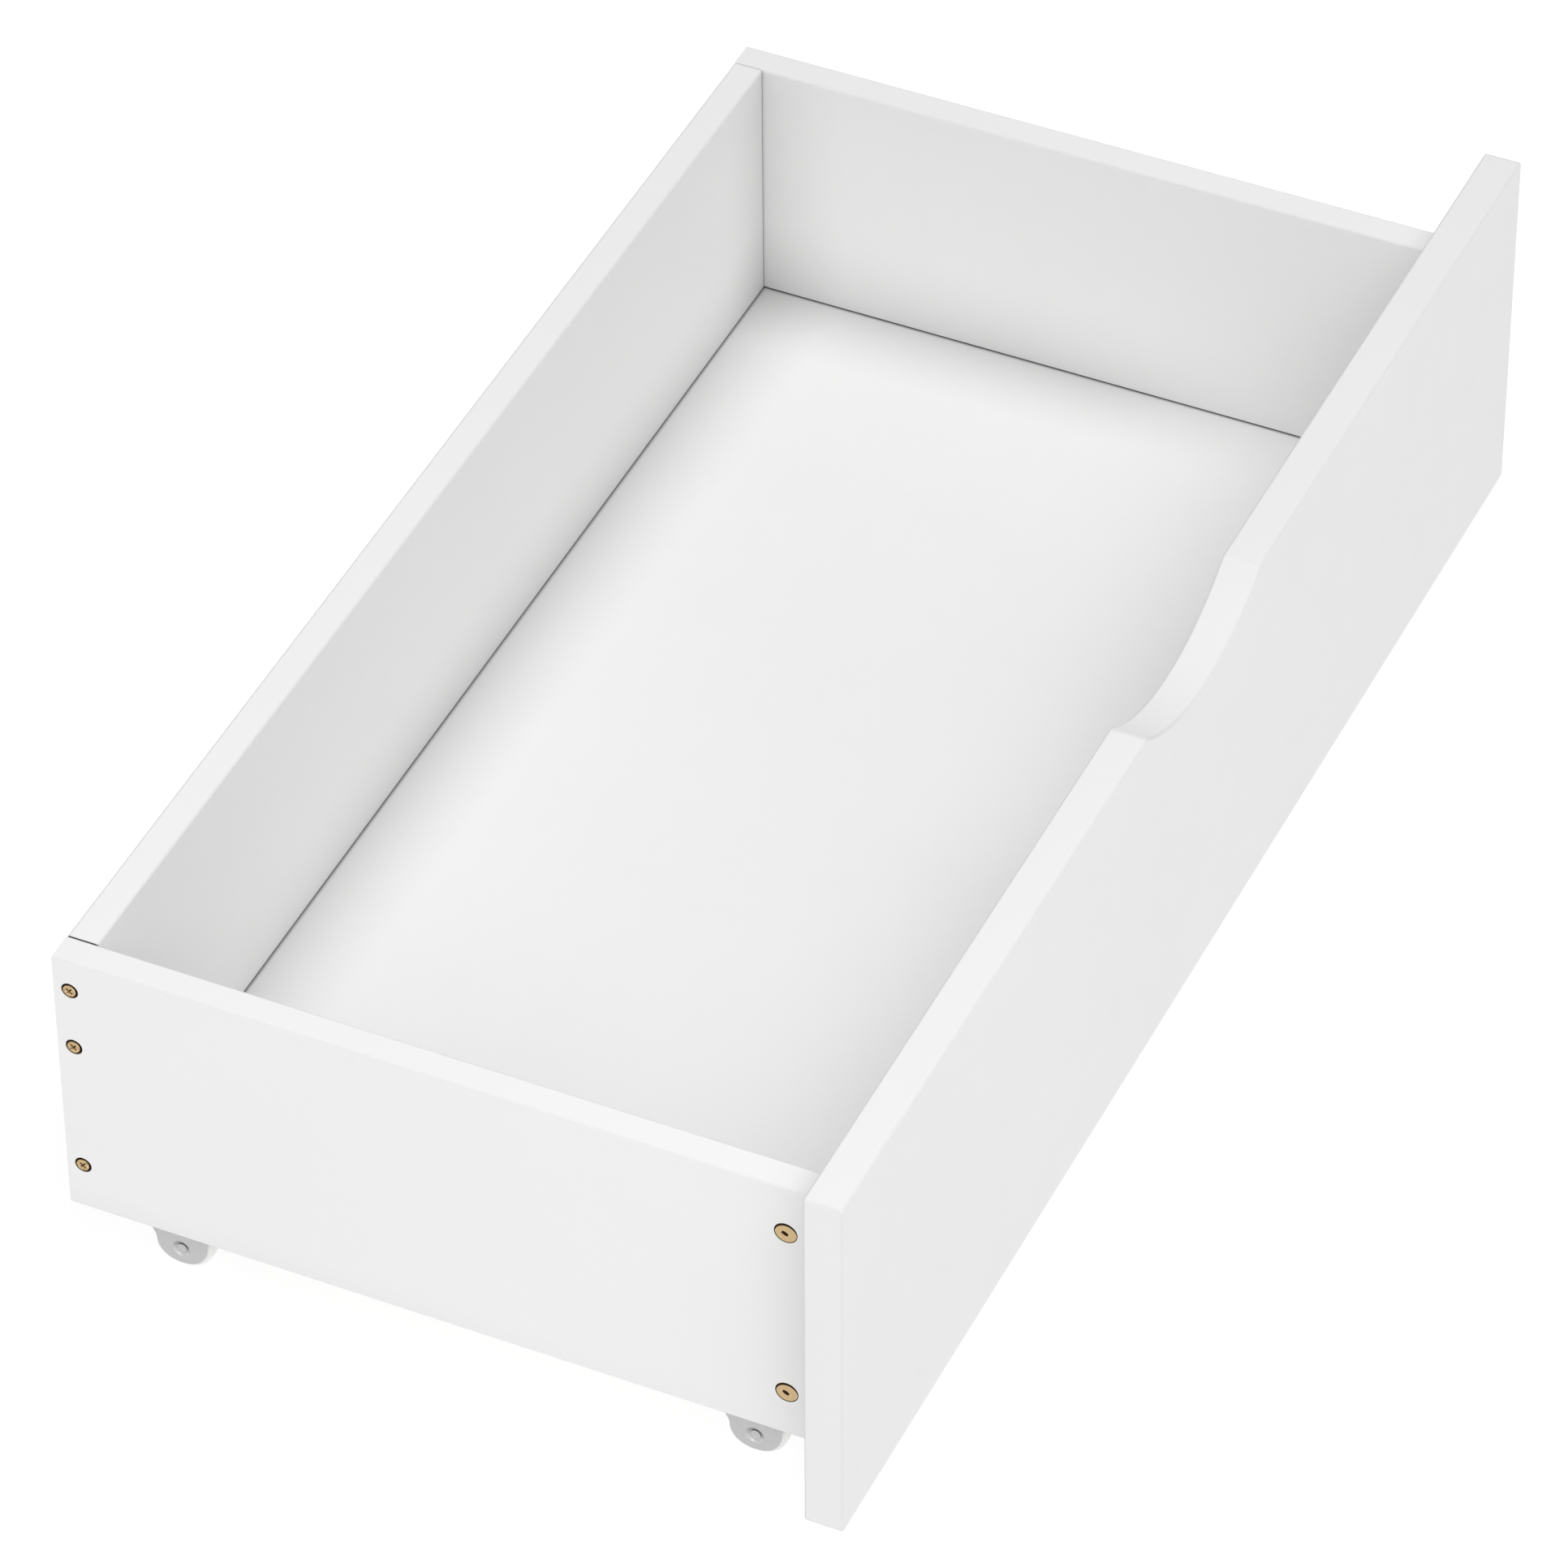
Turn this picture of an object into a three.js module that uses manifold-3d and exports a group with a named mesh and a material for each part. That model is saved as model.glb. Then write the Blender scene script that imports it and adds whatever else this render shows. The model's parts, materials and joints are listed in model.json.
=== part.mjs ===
// Under-bed box: a lacquered board drawer on four fixed castors.
// Millimetres, +Z up, front panel facing -Y. The origin is on the floor, under the middle of the box.

import * as THREE from 'three';
import * as BufferGeometryUtils from 'three/addons/utils/BufferGeometryUtils.js';
import Module from 'manifold-3d';

const wasm = await Module();
wasm.setup();

// ---------- driving dimensions ----------

const GAP = 0.3;                     // clearance between neighbouring pieces
const OVERSHOOT = 1;                 // how far a cutter starts outside what it cuts

const FRONT = { width: 940, height: 231, thickness: 22, corner: 2.5, ease: 1.4 };
const BOX = { width: 865, depth: 447, height: 177 };
const BOARD = 18;                    // side and back boards
const BOARD_EASE = 1.5;              // rounding of a board's upper edges
const BOARD_LOWER_EASE = 0.8;
const FLOOR_PANEL = { thickness: 5, top: 15.6 };      // top is measured from the box's lower edge
const GROOVE = { depth: 6, below: GAP, above: 0.8 };   // play under and over the floor panel
const FRONT_DROP = 18;               // front panel reaches this far below the box
const GRIP = { chord: 155, depth: 25, steps: 18 };    // hand cut-out in the front's top edge

const CASTER = {
  height: 37, inset: 20.3, frontAxle: 50, rearAxle: 60,
  plate: { x: 35, y: 38, thickness: 1.8 },
  fork: { outer: 20, sheet: 1.5, bend: 2.2, outerBend: 1 },
  screw: { x: 14, y: 14.5, hole: 1.9 },
};
// a cheek's half-widths and their heights above the axle: plate-wide on top, then a narrower round part
const CHEEK = {
  flare: 19, band: 0.4, shoulder: 10, waist: 14.7, waistHeight: 8, belly: 14.5, bellyHeight: 3.5, below: 10,
};
const CHEEK_ROUND = { out: 7.5, down: 5.5 };           // how far the round part's curve keeps its direction
const WHEEL = {
  radius: 16, width: 13, hub: 13.6, hubRadius: 5.2, web: 8, rimInner: 11.5, round: 2.2, draft: 0.5,
};
const PLATE_TOP = CASTER.height - WHEEL.radius - GAP;  // above the axle
const DIMPLE = { mouth: 5, floor: 3.6, depth: 1.3 };   // pressed into each cheek around the axle
const AXLE = { radius: 2.4, rivet: 3, rivetHeight: 0.7, crown: 0.8, edge: 0.4 };

const RAIL_WIDTH = 45;
const CENTRE_RAIL_WIDTH = 60;

const CAM = {
  radius: 6.6, length: 13.2, recess: 0.2, edge: 0.4,
  slot: { reach: 1.95, crossReach: 1.2, width: 1.6, depth: 2.4 },
  pocket: 3.2,                       // the bolt's pocket ends this far past the cam's axis
  fromFront: 26.7, heights: [30.2, 145.1],
};
const CAM_BOLT = { shaft: 2.1, head: 3.5, headLength: 2.6, screw: 2.7, embed: 11, tip: 1.5, collar: 1 };
const DOWEL = { radius: 4, length: 30, chamfer: 1, inFront: 10.6, heights: [62, 112] };
const REAR_SCREW = {
  head: 3.8, shank: 2.2, length: 44, tip: 5, point: 0.9, edge: 0.4, recess: 0.3,
  mouth: 4.8, mouthDepth: 2.6,
  cross: { width: 1, reach: 2.4, depth: 1.6 },
  heights: [29.5, 115.3, 155.4],
};
const CASTER_SCREW = {
  head: 2.7, crown: 1.9, shank: 1.6, length: 9.5, headHeight: 1.7, edge: 0.6, tip: 2.4,
};

// sides of the round shapes
const FACETS = { bore: 8, dowel: 10, mouth: 12, screwHead: 14, axle: 12, dimple: 16, cam: 20, wheel: 20 };

// ---------- levels and planes worked out from them ----------

const TOTAL_DEPTH = FRONT.thickness + BOX.depth;
const FRONT_OUTER = -TOTAL_DEPTH / 2;
const FRONT_INNER = FRONT_OUTER + FRONT.thickness;
const BACK_OUTER = TOTAL_DEPTH / 2;
const BACK_INNER = BACK_OUTER - BOARD;
const SIDE_OUTER = BOX.width / 2;
const SIDE_INNER = SIDE_OUTER - BOARD;
const BOX_BOTTOM = CASTER.height;
const BOX_TOP = BOX_BOTTOM + BOX.height;
const FRONT_BOTTOM = BOX_BOTTOM - FRONT_DROP;
const FRONT_TOP = FRONT_BOTTOM + FRONT.height;
const FLOOR_TOP = BOX_BOTTOM + FLOOR_PANEL.top;
const FLOOR_UNDER = FLOOR_TOP - FLOOR_PANEL.thickness;
const CASTER_X = SIDE_OUTER - CASTER.inset;
const AXLE_YS = [FRONT_INNER + CASTER.frontAxle, BACK_OUTER - CASTER.rearAxle];
const BOARD_MIDDLE = SIDE_OUTER - BOARD / 2;
const CAM_Y = FRONT_INNER + CAM.fromFront;
const REAR_SCREW_Y = BACK_OUTER - BOARD / 2;

// ---------- materials ----------

const lacquer = new THREE.MeshStandardMaterial({ color: 0xf2f1ee, roughness: 0.38, metalness: 0 });
const rawBoard = new THREE.MeshStandardMaterial({ color: 0xe9e6df, roughness: 0.6, metalness: 0 });
const beech = new THREE.MeshStandardMaterial({ color: 0xd8b989, roughness: 0.7, metalness: 0 });
const brass = new THREE.MeshStandardMaterial({ color: 0xc7a468, roughness: 0.35, metalness: 0.9 });
const zinc = new THREE.MeshStandardMaterial({ color: 0xb9bbbd, roughness: 0.4, metalness: 0.9 });
const nylon = new THREE.MeshStandardMaterial({ color: 0xeeeeec, roughness: 0.45, metalness: 0 });

// ---------- solids ----------

function toSolid(geometry) {
  const bare = geometry.index ? geometry.toNonIndexed() : geometry.clone();
  bare.deleteAttribute('normal');
  bare.deleteAttribute('uv');
  const merged = BufferGeometryUtils.mergeVertices(bare, 1e-4);
  return new wasm.Manifold(new wasm.Mesh({
    numProp: 3,
    vertProperties: new Float32Array(merged.attributes.position.array),
    triVerts: new Uint32Array(merged.index.array),
  }));
}

function toGeometry(solid) {
  const { vertProperties, triVerts } = solid.getMesh();
  const geometry = new THREE.BufferGeometry();
  geometry.setAttribute('position', new THREE.BufferAttribute(new Float32Array(vertProperties), 3));
  geometry.setIndex(new THREE.BufferAttribute(new Uint32Array(triVerts), 1));
  geometry.computeVertexNormals();
  return geometry;
}

function cut(geometry, cutters) {
  const solid = cutters.reduce((rest, cutter) => rest.subtract(toSolid(cutter)), toSolid(geometry));
  return toGeometry(solid);
}

// a box between two corners
function block([x0, x1], [y0, y1], [z0, z1]) {
  const box = new THREE.BoxGeometry(x1 - x0, y1 - y0, z1 - z0);
  return box.translate((x0 + x1) / 2, (y0 + y1) / 2, (z0 + z1) / 2);
}

// a straight bore, from one point along an axis
function bore(radius, from, axis, length, sides) {
  const direction = new THREE.Vector3(...axis);
  const turn = new THREE.Quaternion().setFromUnitVectors(new THREE.Vector3(0, 1, 0), direction);
  const middle = new THREE.Vector3(...from).addScaledVector(direction, length / 2);
  return new THREE.CylinderGeometry(radius, radius, length, sides)
    .applyQuaternion(turn).translate(middle.x, middle.y, middle.z);
}

// a turned piece: the profile is a list of [radius, height] pairs along the local +Y axis
function turned(profile, sides) {
  return new THREE.LatheGeometry(profile.map(([r, h]) => new THREE.Vector2(r, h)), sides);
}

// a rectangle whose four corners are rounded: radii run bottom-left, bottom-right, top-right, top-left
function roundedRectangle(x0, x1, y0, y1, [a, b, c, d]) {
  const shape = new THREE.Shape();
  shape.moveTo(x0 + a, y0);
  shape.lineTo(x1 - b, y0);
  shape.absarc(x1 - b, y0 + b, b, -Math.PI / 2, 0, false);
  shape.lineTo(x1, y1 - c);
  shape.absarc(x1 - c, y1 - c, c, 0, Math.PI / 2, false);
  shape.lineTo(x0 + d, y1);
  shape.absarc(x0 + d, y1 - d, d, Math.PI / 2, Math.PI, false);
  shape.lineTo(x0, y0 + a);
  shape.absarc(x0 + a, y0 + a, a, Math.PI, Math.PI * 1.5, false);
  return shape;
}

// turns an extrusion so that its outline lies in XZ and its nearest face is at y
function standUp(geometry, y) {
  geometry.rotateX(Math.PI / 2).computeBoundingBox();
  return geometry.translate(0, y - geometry.boundingBox.min.y, 0);
}

// turns an extrusion so that its outline lies in YZ and it starts at x
function lieAlongX(geometry, x) {
  return geometry.rotateY(Math.PI / 2).rotateX(Math.PI / 2).translate(x, 0, 0);
}

// mirroring by a negative scale turns the faces inside out, so the triangles are turned back
function mirrorX(geometry) {
  const mirrored = geometry.clone().scale(-1, 1, 1);
  if (mirrored.index) {
    flipTriangles(mirrored.index.array);
    return mirrored;
  }
  const indexed = BufferGeometryUtils.mergeVertices(mirrored);
  flipTriangles(indexed.index.array);
  return indexed;
}

function flipTriangles(index) {
  for (let i = 0; i < index.length; i += 3) {
    [index[i + 1], index[i + 2]] = [index[i + 2], index[i + 1]];
  }
}

const group = new THREE.Group();

function place(name, geometry, material, position = [0, 0, 0]) {
  const mesh = new THREE.Mesh(geometry, material);
  mesh.name = name;
  mesh.position.set(...position);
  group.add(mesh);
  return mesh;
}

const SIDES = [['left', -1], ['right', 1]];
const LEVELS = ['lower', 'upper'];

// ---------- front panel ----------

// The outline is a rounded rectangle with a shallow round bite out of the middle of its top edge.
function frontOutline() {
  const half = FRONT.width / 2;
  const bite = GRIP.chord / 2;
  const radius = (bite ** 2 + GRIP.depth ** 2) / (2 * GRIP.depth);
  const centre = FRONT_TOP - GRIP.depth + radius;
  const sweep = Math.asin(bite / radius);
  const shape = new THREE.Shape();
  const c = FRONT.corner;
  shape.moveTo(-half + c, FRONT_BOTTOM);
  shape.lineTo(half - c, FRONT_BOTTOM);
  shape.absarc(half - c, FRONT_BOTTOM + c, c, -Math.PI / 2, 0, false);
  shape.lineTo(half, FRONT_TOP - c);
  shape.absarc(half - c, FRONT_TOP - c, c, 0, Math.PI / 2, false);
  for (let i = 0; i <= GRIP.steps; i += 1) {
    const angle = sweep * (1 - (2 * i) / GRIP.steps);
    shape.lineTo(radius * Math.sin(angle), centre - radius * Math.cos(angle));
  }
  shape.lineTo(-half + c, FRONT_TOP);
  shape.absarc(-half + c, FRONT_TOP - c, c, Math.PI / 2, Math.PI, false);
  shape.lineTo(-half, FRONT_BOTTOM + c);
  shape.absarc(-half + c, FRONT_BOTTOM + c, c, Math.PI, Math.PI * 1.5, false);
  return shape;
}

function frontPanel() {
  const panel = standUp(new THREE.ExtrudeGeometry(frontOutline(), {
    depth: FRONT.thickness - 2 * FRONT.ease,
    bevelEnabled: true, bevelThickness: FRONT.ease, bevelSize: FRONT.ease,
    bevelOffset: -FRONT.ease, bevelSegments: 2, curveSegments: 3,
  }), FRONT_OUTER);
  const inward = [0, -1, 0];
  const cutters = [block(
    [-SIDE_INNER - GROOVE.depth, SIDE_INNER + GROOVE.depth],
    [FRONT_INNER - GROOVE.depth, FRONT_INNER + OVERSHOOT],
    [FLOOR_UNDER - GROOVE.below, FLOOR_TOP + GROOVE.above],
  )];
  for (const [, sign] of SIDES) {
    for (const height of CAM.heights) {
      const mouth = [sign * BOARD_MIDDLE, FRONT_INNER + OVERSHOOT, BOX_BOTTOM + height];
      const depth = CAM_BOLT.embed + OVERSHOOT + 2 * GAP;
      cutters.push(bore(CAM_BOLT.screw + GAP, mouth, inward, depth, FACETS.dowel));
    }
    for (const height of DOWEL.heights) {
      const mouth = [sign * BOARD_MIDDLE, FRONT_INNER + OVERSHOOT, BOX_BOTTOM + height];
      cutters.push(bore(DOWEL.radius + GAP, mouth, inward, DOWEL.inFront + OVERSHOOT + GAP, FACETS.dowel));
    }
  }
  return cut(panel, cutters);
}

place('front_panel', frontPanel(), lacquer);

// ---------- side panels ----------

// The right-hand panel; the left one is its mirror image.
function sidePanel() {
  const section = roundedRectangle(SIDE_INNER, SIDE_OUTER, BOX_BOTTOM, BOX_TOP,
    [BOARD_LOWER_EASE, BOARD_LOWER_EASE, BOARD_EASE, BOARD_EASE]);
  const length = BOX.depth - GAP;
  const panel = standUp(new THREE.ExtrudeGeometry(section, {
    depth: length, bevelEnabled: false, curveSegments: 3,
  }), FRONT_INNER + GAP);
  const cutters = [block(
    [SIDE_INNER - OVERSHOOT, SIDE_INNER + GROOVE.depth],
    [FRONT_INNER - OVERSHOOT, BACK_INNER + GROOVE.depth + GAP],
    [FLOOR_UNDER - GROOVE.below, FLOOR_TOP + GROOVE.above],
  )];
  for (const height of CAM.heights) {
    const level = BOX_BOTTOM + height;
    cutters.push(bore(CAM.radius + GAP, [SIDE_OUTER + OVERSHOOT, CAM_Y, level], [-1, 0, 0],
      CAM.recess + CAM.length + OVERSHOOT + GAP, FACETS.cam));
    cutters.push(bore(CAM_BOLT.head + 2 * GAP, [BOARD_MIDDLE, FRONT_INNER - OVERSHOOT, level], [0, 1, 0],
      CAM.fromFront + CAM_BOLT.headLength, FACETS.dowel));
  }
  for (const height of DOWEL.heights) {
    const mouth = [BOARD_MIDDLE, FRONT_INNER - OVERSHOOT, BOX_BOTTOM + height];
    cutters.push(bore(DOWEL.radius + GAP, mouth, [0, 1, 0],
      DOWEL.length - DOWEL.inFront + OVERSHOOT + GAP, FACETS.dowel));
  }
  for (const height of REAR_SCREW.heights) cutters.push(countersink(BOX_BOTTOM + height));
  cutters.push(...casterScrewHoles(CASTER_X + CASTER.screw.x));
  return cut(panel, cutters);
}

// the holes of the castor screws in one row along Y
function casterScrewHoles(x) {
  const holes = [];
  for (const axle of AXLE_YS) {
    for (const step of [-CASTER.screw.y, CASTER.screw.y]) {
      holes.push(bore(CASTER_SCREW.shank + GAP, [x, axle + step, BOX_BOTTOM - OVERSHOOT], [0, 0, 1],
        CASTER_SCREW.length + OVERSHOOT, FACETS.bore));
    }
  }
  return holes;
}

// clearance hole of a rear screw, opening to a cone and a short straight mouth at the outer face
function countersink(level) {
  const { mouth, mouthDepth, shank } = REAR_SCREW;
  const hole = shank + GAP;
  const through = BOARD + OVERSHOOT;
  const profile = [[0, -OVERSHOOT], [mouth, -OVERSHOOT], [mouth, mouthDepth],
    [hole, mouthDepth + mouth - hole], [hole, through], [0, through]];
  return turned(profile, FACETS.mouth).rotateZ(Math.PI / 2)
    .translate(SIDE_OUTER, REAR_SCREW_Y, level);
}

const rightSide = sidePanel();
place('right_side_panel', rightSide, lacquer);
place('left_side_panel', mirrorX(rightSide), lacquer);

// ---------- back panel ----------

function backPanel() {
  const section = roundedRectangle(BACK_INNER, BACK_OUTER, BOX_BOTTOM, BOX_TOP,
    [BOARD_LOWER_EASE, BOARD_LOWER_EASE, BOARD_EASE, BOARD_EASE]);
  const half = SIDE_INNER - GAP;
  const panel = lieAlongX(new THREE.ExtrudeGeometry(section, {
    depth: 2 * half, bevelEnabled: false, curveSegments: 3,
  }), -half);
  const cutters = [block(
    [-SIDE_OUTER, SIDE_OUTER], [BACK_INNER - OVERSHOOT, BACK_INNER + GROOVE.depth],
    [FLOOR_UNDER - GROOVE.below, FLOOR_TOP + GROOVE.above],
  )];
  for (const [, sign] of SIDES) {
    for (const height of REAR_SCREW.heights) {
      const end = [sign * (SIDE_INNER + OVERSHOOT), REAR_SCREW_Y, BOX_BOTTOM + height];
      const pilot = REAR_SCREW.length + REAR_SCREW.recess - BOARD + OVERSHOOT + GAP;
      cutters.push(bore(REAR_SCREW.shank + GAP, end, [-sign, 0, 0], pilot, FACETS.bore));
    }
  }
  return cut(panel, cutters);
}

place('back_panel', backPanel(), lacquer);

// ---------- floor of the box and the rails below it ----------

const FLOOR_REACH = GROOVE.depth - GAP;

place('bottom_panel', block(
  [-SIDE_INNER - FLOOR_REACH, SIDE_INNER + FLOOR_REACH],
  [FRONT_INNER - FLOOR_REACH, BACK_INNER + FLOOR_REACH],
  [FLOOR_UNDER, FLOOR_TOP],
), lacquer);

const RAIL_FRONT = FRONT_INNER + GAP;
const RAIL_BACK = BACK_INNER - GAP;
const RAIL_TOP = FLOOR_UNDER - GAP;

function casterRail(sign) {
  const edges = [sign * (SIDE_INNER - GAP), sign * (SIDE_INNER - GAP - RAIL_WIDTH)].sort((a, b) => a - b);
  const rail = block(edges, [RAIL_FRONT, RAIL_BACK], [BOX_BOTTOM, RAIL_TOP]);
  return cut(rail, casterScrewHoles(sign * (CASTER_X - CASTER.screw.x)));
}

for (const [side, sign] of SIDES) place(`${side}_caster_rail`, casterRail(sign), rawBoard);

place('centre_support_rail', block(
  [-CENTRE_RAIL_WIDTH / 2, CENTRE_RAIL_WIDTH / 2], [RAIL_FRONT, RAIL_BACK], [BOX_BOTTOM, RAIL_TOP],
), rawBoard);

// ---------- cams, their bolts, and dowels: front panel to sides ----------

// The cam's own axis is +Y here; its outer face is at height 0 and it reaches down to -length.
function cam() {
  const { radius, length, recess, edge, slot, pocket } = CAM;
  const body = turned([[0, -length], [radius, -length], [radius, -edge], [radius - edge, 0], [0, 0]],
    FACETS.cam);
  const mouth = [0, recess - BOARD / 2, -radius - OVERSHOOT];
  const across = [-slot.width / 2, slot.width / 2];
  return cut(body, [
    block([-slot.reach, slot.reach], [-slot.depth, OVERSHOOT], across),
    block(across, [-slot.depth, OVERSHOOT], [-slot.crossReach, slot.crossReach]),
    bore(CAM_BOLT.head + GAP, mouth, [0, 0, 1], radius + OVERSHOOT + pocket, FACETS.dowel),
  ]);
}

// The bolt lies along +Y: its screw end is at 0, its head at the far end.
function camBolt() {
  const { shaft, head, headLength, screw, embed, tip, collar } = CAM_BOLT;
  const total = embed + CAM.fromFront + headLength / 2;
  return turned([[0, 0], [screw, tip], [screw, embed], [shaft, embed + collar],
    [shaft, total - headLength], [head, total - headLength], [head, total], [0, total]], FACETS.dowel);
}

function dowel() {
  const { radius, length, chamfer } = DOWEL;
  return turned([[0, 0], [radius - chamfer, 0], [radius, chamfer], [radius, length - chamfer],
    [radius - chamfer, length], [0, length]], FACETS.dowel);
}

const camShape = cam();
const boltShape = camBolt();
const dowelShape = dowel();

for (const [side, sign] of SIDES) {
  CAM.heights.forEach((height, i) => {
    const level = BOX_BOTTOM + height;
    const fastener = place(`${side}_${LEVELS[i]}_cam`, camShape, brass,
      [sign * (SIDE_OUTER - CAM.recess), CAM_Y, level]);
    // local +Y points out of the side, and the bolt's mouth, local -Z, faces the front panel
    fastener.quaternion.setFromRotationMatrix(new THREE.Matrix4().makeBasis(
      new THREE.Vector3(0, 0, sign), new THREE.Vector3(sign, 0, 0), new THREE.Vector3(0, 1, 0)));
    place(`${side}_${LEVELS[i]}_cam_bolt`, boltShape, zinc,
      [sign * BOARD_MIDDLE, FRONT_INNER - CAM_BOLT.embed, level]);
  });
  DOWEL.heights.forEach((height, i) => {
    place(`${side}_${LEVELS[i]}_dowel`, dowelShape, beech,
      [sign * BOARD_MIDDLE, FRONT_INNER - DOWEL.inFront, BOX_BOTTOM + height]);
  });
}

// ---------- rear screws: sides to back ----------

// Head up along +Y with its flat face at height 0 and a cross recess in it.
function rearScrew() {
  const { head, shank, length, tip, point, edge, cross: { width, reach, depth } } = REAR_SCREW;
  const neck = -edge - (head - shank);
  const body = turned([[0, -length], [point, -length + point], [shank, -length + tip], [shank, neck],
    [head, -edge], [head - edge, 0], [0, 0]], FACETS.screwHead);
  const slot = [-width / 2, width / 2];
  return cut(body, [
    block([-reach, reach], [-depth, OVERSHOOT], slot),
    block(slot, [-depth, OVERSHOOT], [-reach, reach]),
  ]);
}

const rearScrewShape = rearScrew();
const REAR_LEVELS = ['lower', 'middle', 'upper'];

for (const [side, sign] of SIDES) {
  REAR_SCREW.heights.forEach((height, i) => {
    const screw = place(`${side}_${REAR_LEVELS[i]}_rear_screw`, rearScrewShape, brass,
      [sign * (SIDE_OUTER - REAR_SCREW.recess), REAR_SCREW_Y, BOX_BOTTOM + height]);
    screw.rotation.z = -sign * Math.PI / 2;
  });
}

// ---------- castors ----------

// Seen from the side: as wide as the plate at the top, curving in to a narrower part that is round below.
function cheekOutline() {
  const { flare, shoulder, waist, waistHeight, belly, bellyHeight, below } = CHEEK;
  const { out, down } = CHEEK_ROUND;
  const shape = new THREE.Shape();
  const band = PLATE_TOP - CASTER.plate.thickness - CHEEK.band;
  shape.moveTo(flare, PLATE_TOP + OVERSHOOT);
  shape.lineTo(-flare, PLATE_TOP + OVERSHOOT);
  shape.lineTo(-flare, band);
  shape.bezierCurveTo(-flare, shoulder, -waist, waistHeight, -belly, bellyHeight);
  shape.bezierCurveTo(-belly, -down, -out, -below, 0, -below);
  shape.bezierCurveTo(out, -below, belly, -down, belly, bellyHeight);
  shape.bezierCurveTo(waist, waistHeight, flare, shoulder, flare, band);
  return shape;
}

// Seen from the front: a flat plate with two cheeks bent down from it, one sheet thickness throughout.
function forkSection() {
  const { outer, sheet, bend, outerBend } = CASTER.fork;
  const under = PLATE_TOP - CASTER.plate.thickness;
  const foot = -CHEEK.below - OVERSHOOT;
  const lip = CASTER.plate.x / 2;
  const out = outer / 2;
  const inner = out - sheet;
  const shape = new THREE.Shape();
  shape.moveTo(lip, PLATE_TOP);
  shape.lineTo(-lip, PLATE_TOP);
  shape.lineTo(-lip, under);
  shape.lineTo(-out - outerBend, under);
  shape.quadraticCurveTo(-out, under, -out, under - outerBend);
  shape.lineTo(-out, foot);
  shape.lineTo(-inner, foot);
  shape.lineTo(-inner, under - bend);
  shape.quadraticCurveTo(-inner, under, -inner + bend, under);
  shape.lineTo(inner - bend, under);
  shape.quadraticCurveTo(inner, under, inner, under - bend);
  shape.lineTo(inner, foot);
  shape.lineTo(out, foot);
  shape.lineTo(out, under - outerBend);
  shape.quadraticCurveTo(out, under, out + outerBend, under);
  shape.lineTo(lip, under);
  return shape;
}

// A frustum that narrows towards the wheel; back moves its outline in by the sheet's thickness.
function dimple(sign, back) {
  const { mouth, floor, depth } = DIMPLE;
  const face = CASTER.fork.outer / 2;
  const start = back ? face - back : face + OVERSHOOT;
  const flare = back ? mouth : mouth + OVERSHOOT * ((mouth - floor) / depth);
  const bottom = face - back - depth;
  const profile = [[0, -start], [flare, -start], [floor, -bottom], [0, -bottom]];
  return turned(profile, FACETS.dimple).rotateZ(sign * Math.PI / 2);
}

// Local origin on the axle; X along the axle.
function casterBracket() {
  const { plate, fork, screw } = CASTER;
  const section = standUp(new THREE.ExtrudeGeometry(forkSection(), {
    depth: plate.y, bevelEnabled: false, curveSegments: 2,
  }), -plate.y / 2);
  const cheek = lieAlongX(new THREE.ExtrudeGeometry(cheekOutline(), {
    depth: plate.x + 2 * OVERSHOOT, bevelEnabled: false, curveSegments: 5,
  }), -plate.x / 2 - OVERSHOOT);
  let bracket = toSolid(section).intersect(toSolid(cheek));
  for (const sign of [-1, 1]) {
    bracket = bracket.add(toSolid(dimple(sign, fork.sheet))).subtract(toSolid(dimple(sign, 0)));
  }
  bracket = bracket.subtract(toSolid(
    bore(AXLE.radius + GAP, [-fork.outer, 0, 0], [1, 0, 0], 2 * fork.outer, FACETS.dowel)));
  for (const x of [-screw.x, screw.x]) {
    for (const y of [-screw.y, screw.y]) {
      bracket = bracket.subtract(toSolid(bore(screw.hole, [x, y, PLATE_TOP - plate.thickness - OVERSHOOT],
        [0, 0, 1], plate.thickness + 2 * OVERSHOOT, FACETS.bore)));
    }
  }
  return toGeometry(bracket);
}

function casterWheel() {
  const { radius, width, hub, hubRadius, web, rimInner, round, draft } = WHEEL;
  const bored = AXLE.radius + GAP;
  const half = [[bored, 0], [bored, hub / 2], [hubRadius, hub / 2], [hubRadius + draft, web / 2],
    [rimInner, web / 2], [rimInner + draft, width / 2], [radius - round, width / 2],
    [radius, width / 2 - round]];
  const upper = half.slice(1);
  const lower = upper.map(([r, h]) => [r, -h]);
  return turned([half[0], ...lower, ...upper.reverse(), half[0]], FACETS.wheel).rotateZ(Math.PI / 2);
}

// A rivet through the fork: a low head at each end, sitting in the cheek's dimple.
function casterAxle() {
  const { radius, rivet, rivetHeight, crown, edge } = AXLE;
  const face = CASTER.fork.outer / 2 - DIMPLE.depth + GAP;
  const end = face + rivetHeight;
  const half = [[radius, face], [rivet, face], [rivet, end - edge], [rivet - crown, end], [0, end]];
  const lower = half.slice().reverse().map(([r, h]) => [r, -h]);
  return turned([...lower, ...half], FACETS.axle).rotateZ(Math.PI / 2);
}

// Pan head below, point up along +Z; the head's upper face is at height 0.
function casterScrew() {
  const { head, crown, shank, length, headHeight, edge, tip } = CASTER_SCREW;
  const point = length - CASTER.plate.thickness;
  return turned([[0, -headHeight], [crown, -headHeight], [head, -edge], [head, 0],
    [shank, 0], [shank, point - tip], [0, point]], FACETS.bore).rotateX(Math.PI / 2);
}

const bracketShape = casterBracket();
const wheelShape = casterWheel();
const axleShape = casterAxle();
const casterScrewShape = casterScrew();
const ENDS = ['front', 'rear'];

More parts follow.
